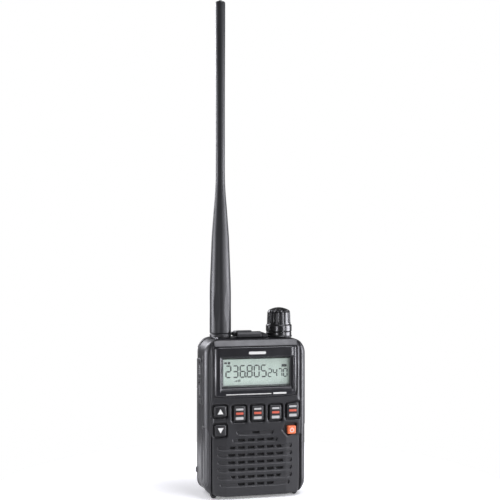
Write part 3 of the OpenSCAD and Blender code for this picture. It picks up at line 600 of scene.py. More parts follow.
def panel_edge(x, z):
    """Distance to the display panel's outline: straight sides and top, and a bowed lower edge."""
    half = (PANEL_HI[0] - PANEL_LO[0]) / 2
    bow = (half ** 2 + PANEL_SAG ** 2) / (2 * PANEL_SAG)
    lower = np.hypot(x - PANEL_X, z - PANEL_LO[2] - bow) - bow
    box = rect2(x - PANEL_X, z - 68.0, half, PANEL_HI[2] - 68.0, 1.0)
    return soft_max(box, lower, 1.5)


def grille_rows(x, z):
    """Which row a point belongs to, and its height above that row's middle."""
    row = np.clip(np.round((GRILLE_TOP - z) / ROW_PITCH), 0, len(GROOVE_HALF) - 1).astype(int)
    return row, z - (GRILLE_TOP - row * ROW_PITCH)


def slots(x, z):
    """Distance to the grille's slots."""
    row, up = grille_rows(x, z)
    last = np.where((row == 1) | (row == 7), 1, 2)
    column = np.clip(np.round((x - GRILLE_X) / SLOT_PITCH - 0.5), -1 - last, last) + 0.5
    column = np.where(row == 0, 0.0, column)
    slot = rect2(x - GRILLE_X - column * SLOT_PITCH, up, SLOT_W / 2, SLOT_H / 2, 0.35)
    return np.maximum(slot, np.hypot(x - GRILLE_X, z - GRILLE_Z) - GRILLE_R)


def groove_depth(x, z):
    """Depth of the long scoops that hold the slots: steep above, gentle below, turned up at the ends."""
    row, up = grille_rows(x, z)
    half = np.array(GROOVE_HALF)[row]
    out = (x - GRILLE_X + 0.5) / half
    rise = 0.7 * np.clip(np.abs(out), 0, 1) ** 8
    edge = rect2(out * half, up - rise + 0.4, half, 1.3, 1.2)
    wall = 0.25 + 0.55 * ramp(-up, -0.4, 0.4)
    return 0.75 * ramp(-edge / wall, 0.0, 1.0)


def front_depth(x, y, z):
    """How far the front's relief lies behind the plain outer form."""
    s = around(x, y)
    between = ramp(26.0 - s, 0.0, 0.5)
    beside = ramp(z, 50.0, 54.0)
    line = (0.45 + 0.25 * beside) * np.exp(-((s - LINE_S + 0.6 * beside) / (0.38 + 0.5 * beside)) ** 2)
    line = line * ramp(z, 2.0, 5.0) * ramp(BODY_H - z, 0.5, 2.5)
    facet = 0.11 * np.maximum(np.abs(x) - FACET_X, 0.0) * ramp(FACET_TOP - z, 0.0, 2.0) * between
    grip = np.where(x < 0, 0.4, 0.2) * ramp(-rect2(s - THUMB_S, z - THUMB_Z, 4.8, 16.5, 3.6), 0.0, 0.6)
    crease_y = CREASE_Y + 2.8 * ramp(50.0 - z, 0.0, 6.0)
    crease = 0.3 * np.exp(-((y - crease_y) / 0.4) ** 2)
    crease = crease * ramp(np.abs(x), HALF_W - 2.0, HALF_W - 1.0) * ramp(z, 6.0, 9.0)
    line = line + crease * ramp(80.0 - z, 0.0, 3.0)
    web = 0.35 * ramp(-rect2(x - WEB_X, z - WEB_Z, 3.9, 1.9, 0.4), 0.0, 0.4)
    return line + facet + grip + web + groove_depth(x, z)


def foot(x, y, z, foot_y):
    """Distance to the pair of tapered feet at one depth."""
    r = 1.9 + 0.9 * z / LIFT
    cone = (np.hypot(np.abs(x) - FOOT_X, y - foot_y) - r) * 0.84
    return np.maximum(np.maximum(cone, -LIFT - z), z - 0.6)


def hole_up(x, y, z, cx, r, above):
    """Distance to an upright round hole through the top wall."""
    return np.maximum(np.hypot(x - cx, y - TOP_Y) - r, above - z)


def front_shell(x, y, z):
    """Front half of the case, with its relief, its pocket for the panel and all its holes."""
    s = around(x, y)
    outer = body(x, y, z, 0.8 * ramp(s, 24.8, 25.8)) + front_depth(x, y, z) * ramp(-y, 1.0, 3.0)
    shell = soft_max(outer, -(body(x, y, z) + WALL), 0.2)
    shell = soft_max(shell, y - SEAM_Y, 0.5)
    shell = soft_min(shell, foot(x, y, z, FRONT_FOOT_Y), 0.5)
    pocket = np.maximum(panel_edge(x, z) - 0.15, y - FRONT_Y - POCKET_D)
    shell = soft_max(shell, -pocket, 0.3)
    front = y + BACK_Y - 6.0
    view = rect2(x - VIEW_X, z - VIEW_Z, VIEW_HALF_W + 1.0, VIEW_HALF_H + 1.0, 0.3)
    shell = np.maximum(shell, -np.maximum(view, front))
    for name in KEY_HOLES:
        hole = key_hole(x, z, name)
        shell = soft_max(shell, -np.maximum(hole, front), 1.1)
    shell = soft_max(shell, -np.maximum(slots(x, z), front), 0.3)
    strip = rect2(y - STRIP_Y, z - STRIP_Z, STRIP_HALF_Y + 0.15, STRIP_HALF_Z + 0.15, 2.5)
    shell = soft_max(shell, -np.maximum(strip, x + HALF_W - 0.5), 0.3)
    lid = rect2(y - DC_Y, z - DC_Z, DC_HALF_Y + 0.2, DC_HALF_Z + 0.2, 0.8)
    shell = soft_max(shell, -np.maximum(lid, HALF_W - 0.5 - x), 0.3)
    socket = np.maximum(np.hypot(y - DC_Y, z - DC_AXIS_Z) - 3.3, 20.0 - x)
    shell = soft_max(shell, -socket, 0.2)
    for cx, r in ((ANTENNA_X, 3.25), (DIAL_X, 3.6), (PHONES_X, 3.1)):
        shell = soft_max(shell, -hole_up(x, y, z, cx, r, 80.0), 0.2)
    return shell


def rear_shell(x, y, z):
    """Rear half of the case: upper back, bulkhead, and the battery bay under the sliding cover."""
    outer = body(x, y, z)
    seat = 0.3 * ramp(-rect2(x, z - CLIP_Z, 15.5, 5.5, 1.5), 0.0, 0.5) * ramp(y, 10.0, 12.0)
    outer = outer + seat
    upper = np.maximum(np.maximum(outer, -(body(x, y, z) + WALL)), COVER_TOP - z)
    wall = np.maximum(np.maximum(outer, np.abs(y - SEAM_Y - 0.6) - 0.6), z - COVER_TOP - 1.2)
    shelf = np.maximum(outer, np.abs(z - COVER_TOP - 0.6) - 0.6)
    made = soft_min(soft_min(upper, wall, 0.3), shelf, 0.3)
    made = soft_max(made, SEAM_Y - y, 0.4)
    bay = box3(x, y, z, (-BAY_X - BAY_WALL, BAY_Y - BAY_WALL, BAY_Z0 - BAY_WALL),
               (BAY_X + BAY_WALL, BACK_Y - 1.9, BAY_Z1 + BAY_WALL), 0.5)
    made = soft_min(made, bay, 0.3)
    across = np.abs(x)
    rail = box3(across, y, z, (BAY_X - 1.0, 9.1, BAY_Z0), (BAY_X + 3.2, 10.3, COVER_TOP), 0.2)
    made = soft_min(made, rail, 0.2)
    for cx, cz in HIGH_SCREWS:
        post = np.maximum(np.hypot(x - cx, z - cz) - 2.3, np.maximum(SEAM_Y - y, y - BACK_Y + 2.0))
        made = soft_min(made, post, 0.3)
    clip = np.hypot(across - CLIP_X, z - CLIP_Z)
    boss = np.maximum(clip - 3.4, np.maximum(8.0 - y, y - BACK_Y + WALL + 0.2))
    made = soft_min(made, boss, 0.3)
    block = np.maximum(outer, np.maximum(x + 22.0, np.maximum(np.abs(z - STRAP_Z) - 5.0, SEAM_Y + 1.0 - y)))
    made = np.minimum(made, block)
    for back, top in ((BACK_Y + 1.0, COVER_TOP), (BACK_Y - 1.8, BAY_Z1)):
        room = box3(x, y, z, (-BAY_X, BAY_Y, BAY_Z0), (BAY_X, back, top), 0.3)
        made = soft_max(made, -room, 0.2)
    for cx, cz in HIGH_SCREWS:
        reach = np.hypot(x - cx, z - cz)
        made = soft_max(made, -(reach - 1.1), 0.1)
        made = soft_max(made, -np.maximum(reach - 2.1, BACK_Y - 1.3 - y), 0.3)
    low = np.maximum(np.hypot(across - LOW_SCREW[0], z - LOW_SCREW[1]) - 1.1, y - 8.0)
    made = soft_max(made, -low, 0.1)
    made = soft_max(made, -np.maximum(clip - 2.25, BACK_Y - 5.1 - y), 0.3)
    notch = np.maximum(x + 24.4, np.maximum(np.abs(y - STRAP_Y) - 2.0, np.abs(z - STRAP_Z) - 3.0))
    made = soft_max(made, -notch, 0.6)
    rod = np.maximum(np.hypot(x + 27.2, y - STRAP_Y) - 0.85, np.abs(z - STRAP_Z) - 4.05)
    return np.maximum(made, -rod)


def cover_shell(x, y, z):
    """Battery cover: it wraps the lower back, with grip ribs, rear feet and hooks that run on the rails."""
    outer = body(x, y, z)
    across = np.abs(x)
    label = 0.3 * ramp(-rect2(x, z - LABEL_Z, 17.0, 9.5, 2.0), 0.0, 0.5)
    arrow = 0.35 * ramp(-polygon2(x, z, [(-2.6, 33.6), (2.6, 33.6), (0.0, 30.2)]), 0.0, 0.3)
    line = 0.3 * np.exp(-((across - 24.2) / 0.4) ** 2) * ramp(z, 3.0, 6.0)
    outer = outer + (label + arrow + line) * ramp(y, 11.0, 13.0)
    made = soft_max(outer, -(body(x, y, z) + WALL), 0.2)
    made = soft_max(made, z - COVER_TOP + 0.2, 0.5)
    made = soft_max(made, SEAM_Y + 1.4 - y, 0.4)
    rib_z = RIB_Z + RIB_PITCH * np.clip(np.round((z - RIB_Z) / RIB_PITCH), 0, RIBS - 1)
    rib = rect2(x, z - rib_z, 9.0, 0.6, 0.5)
    rib = soft_max(rib, y - BACK_Y - RAISE, 0.5)
    made = soft_min(made, np.maximum(rib, BACK_Y - 1.0 - y), 0.4)
    grip = box3(across, y, z, (HALF_W - 1.0, 8.0, 9.5), (HALF_W + 0.7, 10.0, 12.5), 0.6)
    made = soft_min(made, grip, 0.4)
    made = soft_min(made, foot(x, y, z, REAR_FOOT_Y), 0.5)
    hook_x = BAY_X + 3.7
    hook = box3(across, y, z, (hook_x, 7.6, BAY_Z0), (hook_x + 1.2, BACK_Y - 1.4, COVER_TOP - 3.0), 0.1)
    lip = box3(across, y, z, (hook_x - 2.0, 7.6, BAY_Z0), (hook_x + 0.2, 8.6, COVER_TOP - 3.0), 0.1)
    return np.minimum(made, np.minimum(hook, lip))


# ---------------------------------------------------------------- the pieces

FRONT_DEPTHS = lines((-15.0, -11.0, 0.27), (-11.0, 6.3, 0.55))
FRONT_GRID = (steps(-29.6, 29.6, 0.29), FRONT_DEPTHS, steps(-1.7, 86.4, 0.29))
REAR_GRID = (steps(-29.6, 29.6, 0.4), steps(-3.6, 14.9, 0.4), steps(-0.4, 86.4, 0.4))
COVER_GRID = (steps(-30.2, 30.2, 0.36), steps(6.6, 15.4, 0.3), steps(-1.7, 57.4, 0.36))

moulded("front_shell", front_shell, FRONT_GRID, "root", CASE, ["front_case"], keep=0.32)
moulded("rear_shell", rear_shell, REAR_GRID, "root", REAR, ["rear_case"], keep=0.5)
moulded("battery_door", cover_shell, COVER_GRID, "battery_cover", REAR, ["battery_cover"], keep=0.5)


def panel_face(x, z):
    """How far the panel's front lies behind its foremost plane: it bows back towards its sides and ends."""
    side = np.clip(np.abs(x - PANEL_X) - PANEL_FLAT, 0.0, PANEL_ROLL * 0.6)
    return PANEL_ROLL - np.sqrt(PANEL_ROLL ** 2 - side ** 2) + PANEL_BOW * (z - VIEW_Z) ** 2


def panel_front(x, z):
    """Where a mark printed on the panel's front lies."""
    return float(PANEL_LO[1] + panel_face(x, z)) + 0.02


def panel_plate(x, y, z):
    """Display panel with the sloped well round the window."""
    front = PANEL_LO[1] + panel_face(x, z) - y
    plate = soft_max(panel_edge(x, z), front, 0.9)
    plate = np.maximum(plate, y - FRONT_Y - POCKET_D)
    collar = box3(x, y, z, (VIEW_X - VIEW_HALF_W - 0.8, FRONT_Y, VIEW_Z - VIEW_HALF_H - 0.8),
                  (VIEW_X + VIEW_HALF_W + 0.8, PANEL_HI[1], VIEW_Z + VIEW_HALF_H + 0.8), 0.1)
    plate = np.minimum(plate, collar)
    deep = y - WINDOW_LO[1]

    def wall(over, lean):
        """Distance to one sloped wall of the well, from the distance past its foot."""
        return (over + deep * WELL_SLOPE * lean) / math.hypot(1, WELL_SLOPE * lean)

    right = wall(x - VIEW_X - VIEW_HALF_W - WELL_SHIFT, 0.75)
    left = wall(VIEW_X - x - VIEW_HALF_W + WELL_SHIFT, 0.75)
    low = wall(VIEW_Z - z - VIEW_HALF_H, 1.25)
    high = wall(z - VIEW_Z - VIEW_HALF_H, 0.6)
    well = np.maximum(np.maximum(np.maximum(right, left), low), high)
    return soft_max(plate, -well, 0.25)


PANEL_GRID = (steps(-24.7, 23.7, 0.22), steps(-15.2, -12.5, 0.18), steps(53.0, 82.4, 0.22))
moulded("display_bezel", panel_plate, PANEL_GRID, "root", PANEL, ["display_panel"], keep=0.6)


def cap_face(name, x, z):
    """Depth of a key's front: a soft crown that falls away from its middle."""
    cx, cz = KEY_HOLES[name][:2]
    return KEY_Y + 0.012 * ((x - cx) ** 2 + (z - cz) ** 2) * (0.4 if name == "key_power" else 1.0)


def key_cap(name):
    """A front key: its cap, and the dark skirt that keeps it behind the wall. Under the orange power key the
    skirt's dark is painted shade in the gap round the cap.
    """
    lo, hi = box_mm(name)
    middle = (lo + hi) / 2
    half = (hi - lo) / 2
    power = name == "key_power"

    def field(x, y, z):
        if power:
            edge = rect2(x - POWER_CAP[0], z - POWER_CAP[1], 2.4, 2.35, 0.7)
        else:
            edge = key_hole(x, z, name) + KEY_GAP
        cap = soft_max(edge, cap_face(name, x, z) - y, 1.2)
        return np.maximum(cap, y - hi[1])

    def skirt(x, y, z):
        flange = rect2(x - middle[0], z - middle[2], half[0], half[2], 1.2)
        return np.maximum(soft_max(flange, hi[1] - 0.6 - y, 0.15), y - hi[1] + 0.02)

    grid = [steps(a - 0.3, b + 0.3, 0.2) for a, b in zip(lo, hi)]
    slot, material = ("power_key", ORANGE) if power else ("keys", KEYCAP)
    moulded(name + "_cap", field, grid, name, material, [name])
    # Every skirt is dark rubber; round the orange power key this dark stands in for painted shade in the
    # gap.
    moulded(name + "_skirt", skirt, grid, name, RUBBER, [])


for key in KEY_HOLES:
    key_cap(key)


def bar(cx, cz, w, h, r=0.3, turns=4):
    """Outline of a small bar with round corners."""
    spots = []
    for k, (sx, sz) in enumerate(((1, 1), (-1, 1), (-1, -1), (1, -1))):
        for t in range(turns + 1):
            a = math.pi / 2 * (k + t / turns)
            spots.append((cx + sx * (w / 2 - r) + r * math.cos(a), cz + sz * (h / 2 - r) + r * math.sin(a)))
    return spots


def ring_part(cx, cz, r, width, start, end, pieces=24):
    """Outline of a part of a ring, angles in degrees."""
    turn = [math.radians(start + (end - start) * i / pieces) for i in range(pieces + 1)]
    outer = [(cx + (r + width / 2) * math.cos(a), cz + (r + width / 2) * math.sin(a)) for a in turn]
    inner = [(cx + (r - width / 2) * math.cos(a), cz + (r - width / 2) * math.sin(a)) for a in turn]
    return outer + inner[::-1]


ARROW_W = 1.6
ARROW_H = 1.45


def key_marks(name, kind, outlines, material):
    """Marks printed on a key's crowned front."""
    plates(f"{name}_{kind}", outlines, lambda x, z: float(cap_face(name, x, z)) + 0.02, 0.05, name,
           material)


for key, way in (("key_up", 1), ("key_down", -1)):
    cx, cz = KEY_HOLES[key][:2]
    rise = ARROW_H * way
    arrow = [(cx - ARROW_W, cz - rise), (cx + ARROW_W, cz - rise), (cx, cz + rise)]
    key_marks(key, "arrow", [arrow], WHITE_INK)
for key in ("key_band", "key_step", "key_mode", "key_memory"):
    cx, cz = KEY_HOLES[key][:2]
    key_marks(key, "mark", [bar(cx, cz + 2.4, 4.2, 1.0), bar(cx, cz - 2.5, 4.4, 1.5)], PALE_INK)
    key_marks(key, "stripe", [bar(cx, cz + 0.15, 4.2, 1.2)], ORANGE_INK)
cx, cz = POWER_CAP
power_symbol = [ring_part(cx, cz - 0.1, 1.0, 0.42, 120, 420), bar(cx, cz + 0.85, 0.42, 1.2, 0.15)]
key_marks("key_power", "symbol", power_symbol, WHITE_INK)


def side_pad(x, y, z):
    """Rubber pad with openings for the two side keys and a shallow dip round them."""
    edge = rect2(y - STRIP_Y, z - STRIP_Z, STRIP_HALF_Y, STRIP_HALF_Z, 2.4)
    dip = 0.2 * ramp(-rect2(y - STRIP_Y, z - STRIP_Z, STRIP_HALF_Y - 0.9, STRIP_HALF_Z - 0.9, 1.6), 0.0, 0.7)
    pad = soft_max(edge, STRIP_LO[0] + dip - x, 0.8)
    pad = np.maximum(pad, x - STRIP_HI[0])
    for key in SIDE_KEYS:
        lo, hi = box_mm(key)
        half = (hi - lo) / 2 + 0.25
        hole = rect2(y - STRIP_Y, z - (lo[2] + hi[2]) / 2, half[1], half[2], 1.6)
        pad = soft_max(pad, -hole, 0.3)
    return pad


def side_key(name):
    """A side key: a ribbed, crowned head on a narrower stem."""
    lo, hi = box_mm(name)
    cz = (lo[2] + hi[2]) / 2

    def field(x, y, z):
        edge = rect2(y - STRIP_Y, z - cz, (hi[1] - lo[1]) / 2, (hi[2] - lo[2]) / 2, 1.4)
        ridge = 0.3 * np.cos((z - cz) * math.pi / 1.1) ** 2 * ramp(2.8 - np.abs(z - cz), 0.0, 0.4)
        crown = 0.3 - ridge * ramp(2.2 - np.abs(y - STRIP_Y), 0.0, 0.5)
        head = soft_max(edge, lo[0] + crown + 0.02 * (y - STRIP_Y) ** 2 - x, 0.7)
        stem = np.maximum(edge + 0.7, lo[0] + 1.0 - x)
        return np.maximum(np.minimum(np.maximum(head, x + HALF_W + 0.12), stem), x - hi[0])

    grid = [steps(a - 0.3, b + 0.3, 0.18) for a, b in zip(lo, hi)]
    moulded(name + "_cap", field, grid, name, RUBBER, [name])


PAD_GRID = [steps(a - 0.4, b + 0.4, 0.2) for a, b in zip(STRIP_LO, STRIP_HI)]
moulded("side_pad", side_pad, PAD_GRID, "root", RUBBER, ["side_key_pad"], keep=0.6)
for key in SIDE_KEYS:
    side_key(key)


def arc(cx, cz, r, start, end, pieces):
    """Points of an arc in a profile, angles in degrees."""
    turn = np.radians(np.linspace(start, end, pieces + 1))
    return [(cx + r * math.cos(a), cz + r * math.sin(a)) for a in turn]


# The dial: a plain skirt, a step, and a fluted grip that narrows a little towards its domed top
FLUTES = 14
SKIRT_R = (KNOB_HI[0] - KNOB_LO[0]) / 2
GRIP_R = 6.75
SKIRT_Z = KNOB_LO[2]
STEP_Z = SKIRT_Z + 3.7
DIAL_TOP = KNOB_HI[2]
BORE_R = 2.6
BORE_TOP = SKIRT_Z + 7.0
DIAL_TURN = math.radians(26.3)


def dial_profile():
    """The dial from its bore, over the skirt and the grip, to the middle of its dome."""
    z0, z1 = SKIRT_Z, STEP_Z
    points = [(0.05, BORE_TOP), (BORE_R, BORE_TOP), (BORE_R, z0), (SKIRT_R - 0.3, z0)]
    points += arc(SKIRT_R - 0.25, z0 + 0.25, 0.25, -80, 0, 4)
    points += [(SKIRT_R, z) for z in np.linspace(z0 + 0.6, z1 - 0.5, 5)]
    points += arc(SKIRT_R - 0.4, z1 - 0.4, 0.4, 0, 80, 5) + [(GRIP_R + 0.2, z1 + 0.02), (GRIP_R, z1 + 0.2)]
    shoulder = 2.2
    low = DIAL_TOP - 3.3
    top_r = GRIP_R - 0.2
    points += [(GRIP_R - 0.2 * t, z1 + 0.5 + (low - z1 - 0.5) * t) for t in np.linspace(0, 1, 22)]
    points += arc(top_r - shoulder, low, shoulder, 6, 58, 9)
    last_r, last_z = points[-1]
    for t in np.linspace(0.08, 0.92, 12):
        r = last_r * (1 - t)
        points.append((r, DIAL_TOP - (DIAL_TOP - last_z) * (r / last_r) ** 2))
    return points + [(0.05, DIAL_TOP)]


def flute_dent(angle, r, z):
    """Round-ended flutes that narrow towards the skirt."""
    pitch = 2 * math.pi / FLUTES
    off = (angle + pitch / 2) % pitch - pitch / 2
    low, high = STEP_Z + 1.0, DIAL_TOP + 0.6
    if r < 2.5 or z < STEP_Z + 0.2:
        return np.zeros_like(angle)
    share = min(max((z - low) / (high - low), 0.0), 1.0)
    half = 0.55 + 0.5 * share
    ahead = max(low + half - z, 0.0)
    across = np.hypot(off * GRIP_R, ahead)
    fade = min(max((r - 3.4) / 2.0, 0.0), 1.0)
    return 0.5 * fade * ramp(half - across, 0.0, half * 0.95)


turned("tuning_dial", dial_profile(), FLUTES * 18, DIAL_TURN, (DIAL_X, TOP_Y), "dial", GLOSS,
       ["tuning_knob"], flute_dent)


def collar_profile():
    """The fixed ring under the dial, with a bead round its foot."""
    r = (COLLAR_HI[0] - COLLAR_LO[0]) / 2
    z0, z1 = COLLAR_LO[2], COLLAR_HI[2]
    points = [(5.0, z1), (5.0, z0), (r + 0.25, z0)] + arc(r, z0 + 0.45, 0.25, -60, 60, 4)
    points += [(r, z0 + 0.95), (r, z0 + 1.5), (r, z1 - 0.4)]
    return points + arc(r - 0.2, z1 - 0.2, 0.2, 0, 90, 4)


turned("dial_collar", collar_profile(), 120, 0.0, (DIAL_X, TOP_Y), "root", GLOSS, ["knob_collar"])

# The antenna: a straight grip with long shallow flats, a waist, and a slim whip
BASE_Z = SHEATH_LO[2]
TIP_Z = SHEATH_HI[2]
BASE_R = (SHEATH_HI[0] - SHEATH_LO[0]) / 2
NUT_ROOM_R = 4.35
NUT_ROOM_TOP = BASE_Z + 7.3
FLAT_TURN = math.radians(236.6)
FLAT_Z = 103.5
FLAT_HALF = 8.6
FLAT_DEPTH = 0.24
STEM = ((BASE_R, 108.0), (5.95, 112.0), (5.8, 118.0), (5.45, 127.0), (4.85, 143.0), (4.2, 151.5),
        (3.65, 159.0), (3.2, 164.0), (2.85, 169.0), (2.64, 173.5), (2.56, 177.0), (2.55, 195.0),
        (2.55, 215.0), (2.62, 235.0), (2.7, 250.0), (2.75, 264.0), (2.75, TIP_Z - 1.7))


def sheath_profile():
    """The sleeve from the hollow round its nut, over the grip and the whip, to the middle of its tip."""
    points = [(0.05, NUT_ROOM_TOP), (NUT_ROOM_R, NUT_ROOM_TOP), (NUT_ROOM_R, BASE_Z + 1.7)]
    points += [(5.0, BASE_Z + 1.7), (5.0, BASE_Z)]
    points += [(BASE_R - 0.35, BASE_Z)] + arc(BASE_R - 0.35, BASE_Z + 0.35, 0.35, -80, 0, 4)
    points += [(BASE_R, BASE_Z + 1.6), (BASE_R - 0.02, BASE_Z + 1.9), (BASE_R - 0.3, BASE_Z + 2.05),
               (BASE_R - 0.3, BASE_Z + 2.3), (BASE_R - 0.05, BASE_Z + 2.5)]
    points += [(BASE_R, z) for z in np.linspace(BASE_Z + 2.9, STEM[0][1] - 1.0, 44)]
    stem = np.array(STEM)
    rise = np.concatenate([np.linspace(STEM[0][1], 180.0, 70), np.linspace(182.0, stem[-1, 1], 36)])
    smooth = np.interp(rise, stem[:, 1], stem[:, 0])
    for _ in range(6):
        smooth[1:-1] = (smooth[:-2] + 2 * smooth[1:-1] + smooth[2:]) / 4
    points += list(zip(smooth, rise))
    points += arc(1.9, TIP_Z - 1.55, 0.85, 8, 85, 6)
    points += [(1.2, TIP_Z - 0.62), (1.0, TIP_Z - 0.5), (0.95, TIP_Z - 0.3)]
    return points + arc(0.6, TIP_Z - 0.3, 0.3, 20, 90, 4) + [(0.05, TIP_Z)]


def flat_dent(angle, r, z):
    """Six lens-shaped flats round the grip."""
    if abs(z - FLAT_Z) > FLAT_HALF:
        return np.zeros_like(angle)
    depth = FLAT_DEPTH * (1 - ((z - FLAT_Z) / FLAT_HALF) ** 2)
    off = (angle + math.pi / 6) % (math.pi / 3) - math.pi / 6
    return np.maximum(r - (r - depth) / np.cos(off), 0.0)


turned("antenna_sleeve", sheath_profile(), 180, FLAT_TURN, (ANTENNA_X, TOP_Y), "antenna",
       WHIP, ["antenna_sheath"], flat_dent)

# The rubber covers
CAP_HINGE_Z = CAP_LO[2] + 2.6


def jack_cap(x, y, z):
    """Cap over the phones jack: two steps, a chamfered front, a pull tab and a roll at the hinge."""
    lo, hi = CAP_LO, CAP_HI
    fall = 0.09 * np.maximum(y + 2.5, 0.0)
    high = box3(x, y, z + fall, (lo[0] + 0.8, lo[1] + 1.0, lo[2]), (lo[0] + 9.4, hi[1] - 0.4, hi[2]), 0.7)
    low = box3(x, y, z + fall, (lo[0] + 0.6, lo[1], lo[2]), (hi[0] - 0.35, hi[1], hi[2] - 0.65), 0.7)
    front = ((lo[1] + 0.1 - y) + (z - hi[2] + 2.2) * 0.75) / 1.25
    low = soft_max(low, front, 0.5)
    tab = box3(x, y, z, (lo[0] - 1.2, -1.8, lo[2] + 1.0), (lo[0] + 2.0, 4.8, lo[2] + 2.9), 0.6)
    roll = np.hypot(x - hi[0] + 0.2, z - CAP_HINGE_Z) - 0.25
    roll = np.maximum(roll, np.abs(y - TOP_Y) - 4.6)
    made = soft_min(soft_min(soft_min(low, high, 0.25), tab, 0.3), roll, 0.15)
    return np.maximum(made, lo[2] - z)


CAP_GRID = [steps(a - 1.6, b + 0.4, 0.22) for a, b in zip(CAP_LO, CAP_HI)]
moulded("phones_cap", jack_cap, CAP_GRID, "speaker_jack_cover", RUBBER,
        ["speaker_jack_cover"])


def cap_tab(x, y, z):
    """The end of the cap's strap, held down on the case."""
    lo, hi = TAB_LO, TAB_HI
    slope = ((x - lo[0] - 1.2) * 0.36 + z - hi[2]) / 1.063
    return soft_max(box3(x, y, z, lo, hi, 0.3), slope, 0.3)


TAB_GRID = [steps(a - 0.4, b + 0.4, 0.2) for a, b in zip(TAB_LO, TAB_HI)]
moulded("phones_cap_strap", cap_tab, TAB_GRID, "root", RUBBER, ["jack_cover_strap"])


def power_lid(x, y, z):
    """Lid over the direct current jack, with a sunk face and a roll along its hinge."""
    edge = rect2(y - DC_Y, z - DC_Z, DC_HALF_Y, DC_HALF_Z, 0.9)
    inset = ramp(-rect2(y - DC_Y, z - DC_Z + 0.6, DC_HALF_Y - 1.0, DC_HALF_Z - 1.6, 1.2), 0.0, 0.5)
    lid = soft_max(edge, x - LID_HI[0] + 0.25 * inset, 0.7)
    lid = np.maximum(lid, LID_LO[0] - x)
    roll_x = (LID_LO[0] + LID_HI[0]) / 2
    roll = np.hypot(x - roll_x, z - LID_LO[2] - HINGE_ROLL) - HINGE_ROLL
    roll = np.maximum(roll, np.abs(y - DC_Y) - DC_HALF_Y + 0.4)
    return soft_min(lid, roll, 0.3)


LID_GRID = [steps(a - 0.3, b + 0.3, 0.2) for a, b in zip(LID_LO, LID_HI)]
moulded("power_lid", power_lid, LID_GRID, "dc_jack_cover", RUBBER, ["dc_jack_cover"])

# ---------------------------------------------------------------- the display's image

SEGMENTS = {"0": "abcdef", "2": "abged", "3": "abgcd", "4": "fgbc", "5": "afgcd", "6": "afgedc",
            "7": "abc", "8": "abcdefg"}


def digit(symbol, left, low, w, h, line):
    """Outlines of one seven-segment digit."""
    ends = {"a": ((0, 1), (1, 1)), "b": ((1, 1), (1, 0.5)), "c": ((1, 0.5), (1, 0)), "d": ((0, 0), (1, 0)),
            "e": ((0, 0), (0, 0.5)), "f": ((0, 0.5), (0, 1)), "g": ((0, 0.5), (1, 0.5))}
    made = []
    for name in SEGMENTS[symbol]:
        (x0, z0), (x1, z1) = ends[name]
        start = np.array([left + x0 * w, low + z0 * h])
        end = np.array([left + x1 * w, low + z1 * h])
        way = (end - start) / np.linalg.norm(end - start)
        side = np.array([-way[1], way[0]]) * line / 2
        a, b = start + way * line * 0.15, end - way * line * 0.15
        made.append([tuple(p) for p in (a, a + way * line / 2 - side, b - way * line / 2 - side, b,
                                        b - way * line / 2 + side, a + way * line / 2 + side)])
    return made


def readout(symbols, left, low, w, h, pitch, line):
    """Outlines of a row of digits."""
    made = []
    for i, symbol in enumerate(symbols):
        made += digit(symbol, left + i * pitch, low, w, h, line)
    return made


image = readout("236805", -16.7, 65.2, 2.7, 6.3, 4.0, 0.75)
image += [bar(-5.4, 65.3, 0.7, 0.7, 0.15)]
image += readout("2470", 7.2, 65.0, 2.0, 4.3, 2.95, 0.6)
image += [bar(-16.9, 73.1, 1.6, 1.1, 0.3), bar(-15.0, 73.1, 1.5, 1.5, 0.6), bar(16.4, 71.1, 2.9, 1.5, 0.25)]
image += [bar(-11.6 + 0.9 * i, 63.0 + 0.12 * i, 0.5, 0.7 + 0.24 * i, 0.1) for i in range(4)]
plates("lcd_image", image, lambda x, z: GLASS_LO[1] - 0.01, 0.03, "root", LCD_INK, cell=9.0)

marks = [bar(0.4, 78.7, 9.8, 1.5, 0.74), bar(-4.4, 56.1, 25.6, 0.45, 0.2), bar(13.2, 56.2, 7.6, 0.9, 0.4)]
plates("panel_marks", marks, panel_front, 0.05, "root", WHITE_INK)

# ---------------------------------------------------------------- stage, light and camera


def floor(radius=0.15, sides=96, rings=8):
    """A small round table top of pale paper."""
    points, faces = [(0, 0, 0)], []
    for k in range(1, rings + 1):
        points += [(radius * k / rings * math.cos(2 * math.pi * i / sides),
                    radius * k / rings * math.sin(2 * math.pi * i / sides), 0) for i in range(sides)]
    faces += [(0, 1 + i, 1 + (i + 1) % sides) for i in range(sides)]
    for k in range(rings - 1):
        a, b = 1 + k * sides, 1 + (k + 1) * sides
        faces += [(a + i, b + i, b + (i + 1) % sides, a + (i + 1) % sides) for i in range(sides)]
    mesh = bpy.data.meshes.new("floor")
    mesh.from_pydata(points, [], faces)
    piece = bpy.data.objects.new("floor", mesh)
    bpy.context.scene.collection.objects.link(piece)
    pale = finish("floor_paper", tone(252, 252, 252), 0.8, mottle=0.004, cloud_scale=6, grain=0.0,
                  Emission_Color=(1, 1, 1, 1), Emission_Strength=0.2)
    mesh.materials.append(pale)


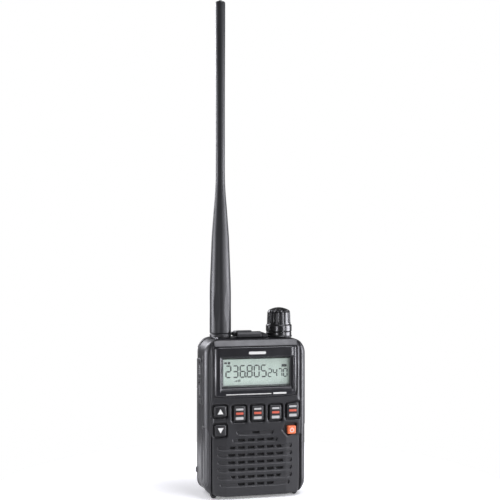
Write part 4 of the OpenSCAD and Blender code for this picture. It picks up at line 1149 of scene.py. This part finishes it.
def lamp(name, azimuth, elevation, size, power, distance=0.8):
    """A softbox aimed at the radio's middle. Azimuth 0 is in front of it and 90 is on its right."""
    a, e = math.radians(azimuth), math.radians(elevation)
    way = Vector((math.sin(a) * math.cos(e), -math.cos(a) * math.cos(e), math.sin(e)))
    light = bpy.data.lights.new(name, "AREA")
    light.shape = "RECTANGLE"
    light.size, light.size_y = size
    light.energy = power
    light.color = (0.93, 0.93, 1.0)
    piece = bpy.data.objects.new(name, light)
    piece.location = Vector((0, 0, 0.09)) + way * distance
    piece.rotation_euler = (-way).to_track_quat("-Z", "Y").to_euler()
    bpy.context.scene.collection.objects.link(piece)


floor()
lamp("right_softbox", 78, 1, (0.5, 0.34), 9.5)
lamp("left_softbox", -101, 1, (0.36, 0.34), 6.5)
lamp("front_right_strip", 34, 2, (0.16, 0.22), 2.1)
lamp("front_left_spot", -31, -7, (0.12, 0.08), 1.0)
lamp("top_softbox", 40, 64, (0.4, 0.3), 4.6)
lamp("rear_softbox", 208, 24, (0.4, 0.3), 4.0)

# The camera sees white paper all round, and everything else is lit by a dim sky
world = bpy.data.worlds.new("studio")
world.use_nodes = True
tree = world.node_tree
sky = tree.nodes["Background"]
sky.inputs["Color"].default_value = (1, 1, 1, 1)
sky.inputs["Strength"].default_value = 0.15
paper = node(tree, "ShaderNodeBackground")
paper.inputs["Color"].default_value = (1, 1, 1, 1)
seen = node(tree, "ShaderNodeLightPath")
either = node(tree, "ShaderNodeMixShader")
tree.links.new(seen.outputs["Is Camera Ray"], either.inputs["Fac"])
tree.links.new(sky.outputs["Background"], either.inputs[1])
tree.links.new(paper.outputs["Background"], either.inputs[2])
tree.links.new(either.outputs["Shader"], tree.nodes["World Output"].inputs["Surface"])
bpy.context.scene.world = world
bpy.context.scene.view_settings.view_transform = "Standard"

LENS_MM = 71.4
EYE = (-0.1304, -0.5446, 0.1367)
EYE_TURN = math.radians(-13.435)
lens = bpy.data.cameras.new("camera")
lens.lens = LENS_MM
lens.sensor_width = 36
eye = bpy.data.objects.new("camera", lens)
eye.location = EYE
eye.rotation_euler = (math.radians(90), 0, EYE_TURN)
bpy.context.scene.collection.objects.link(eye)
bpy.context.scene.camera = eye
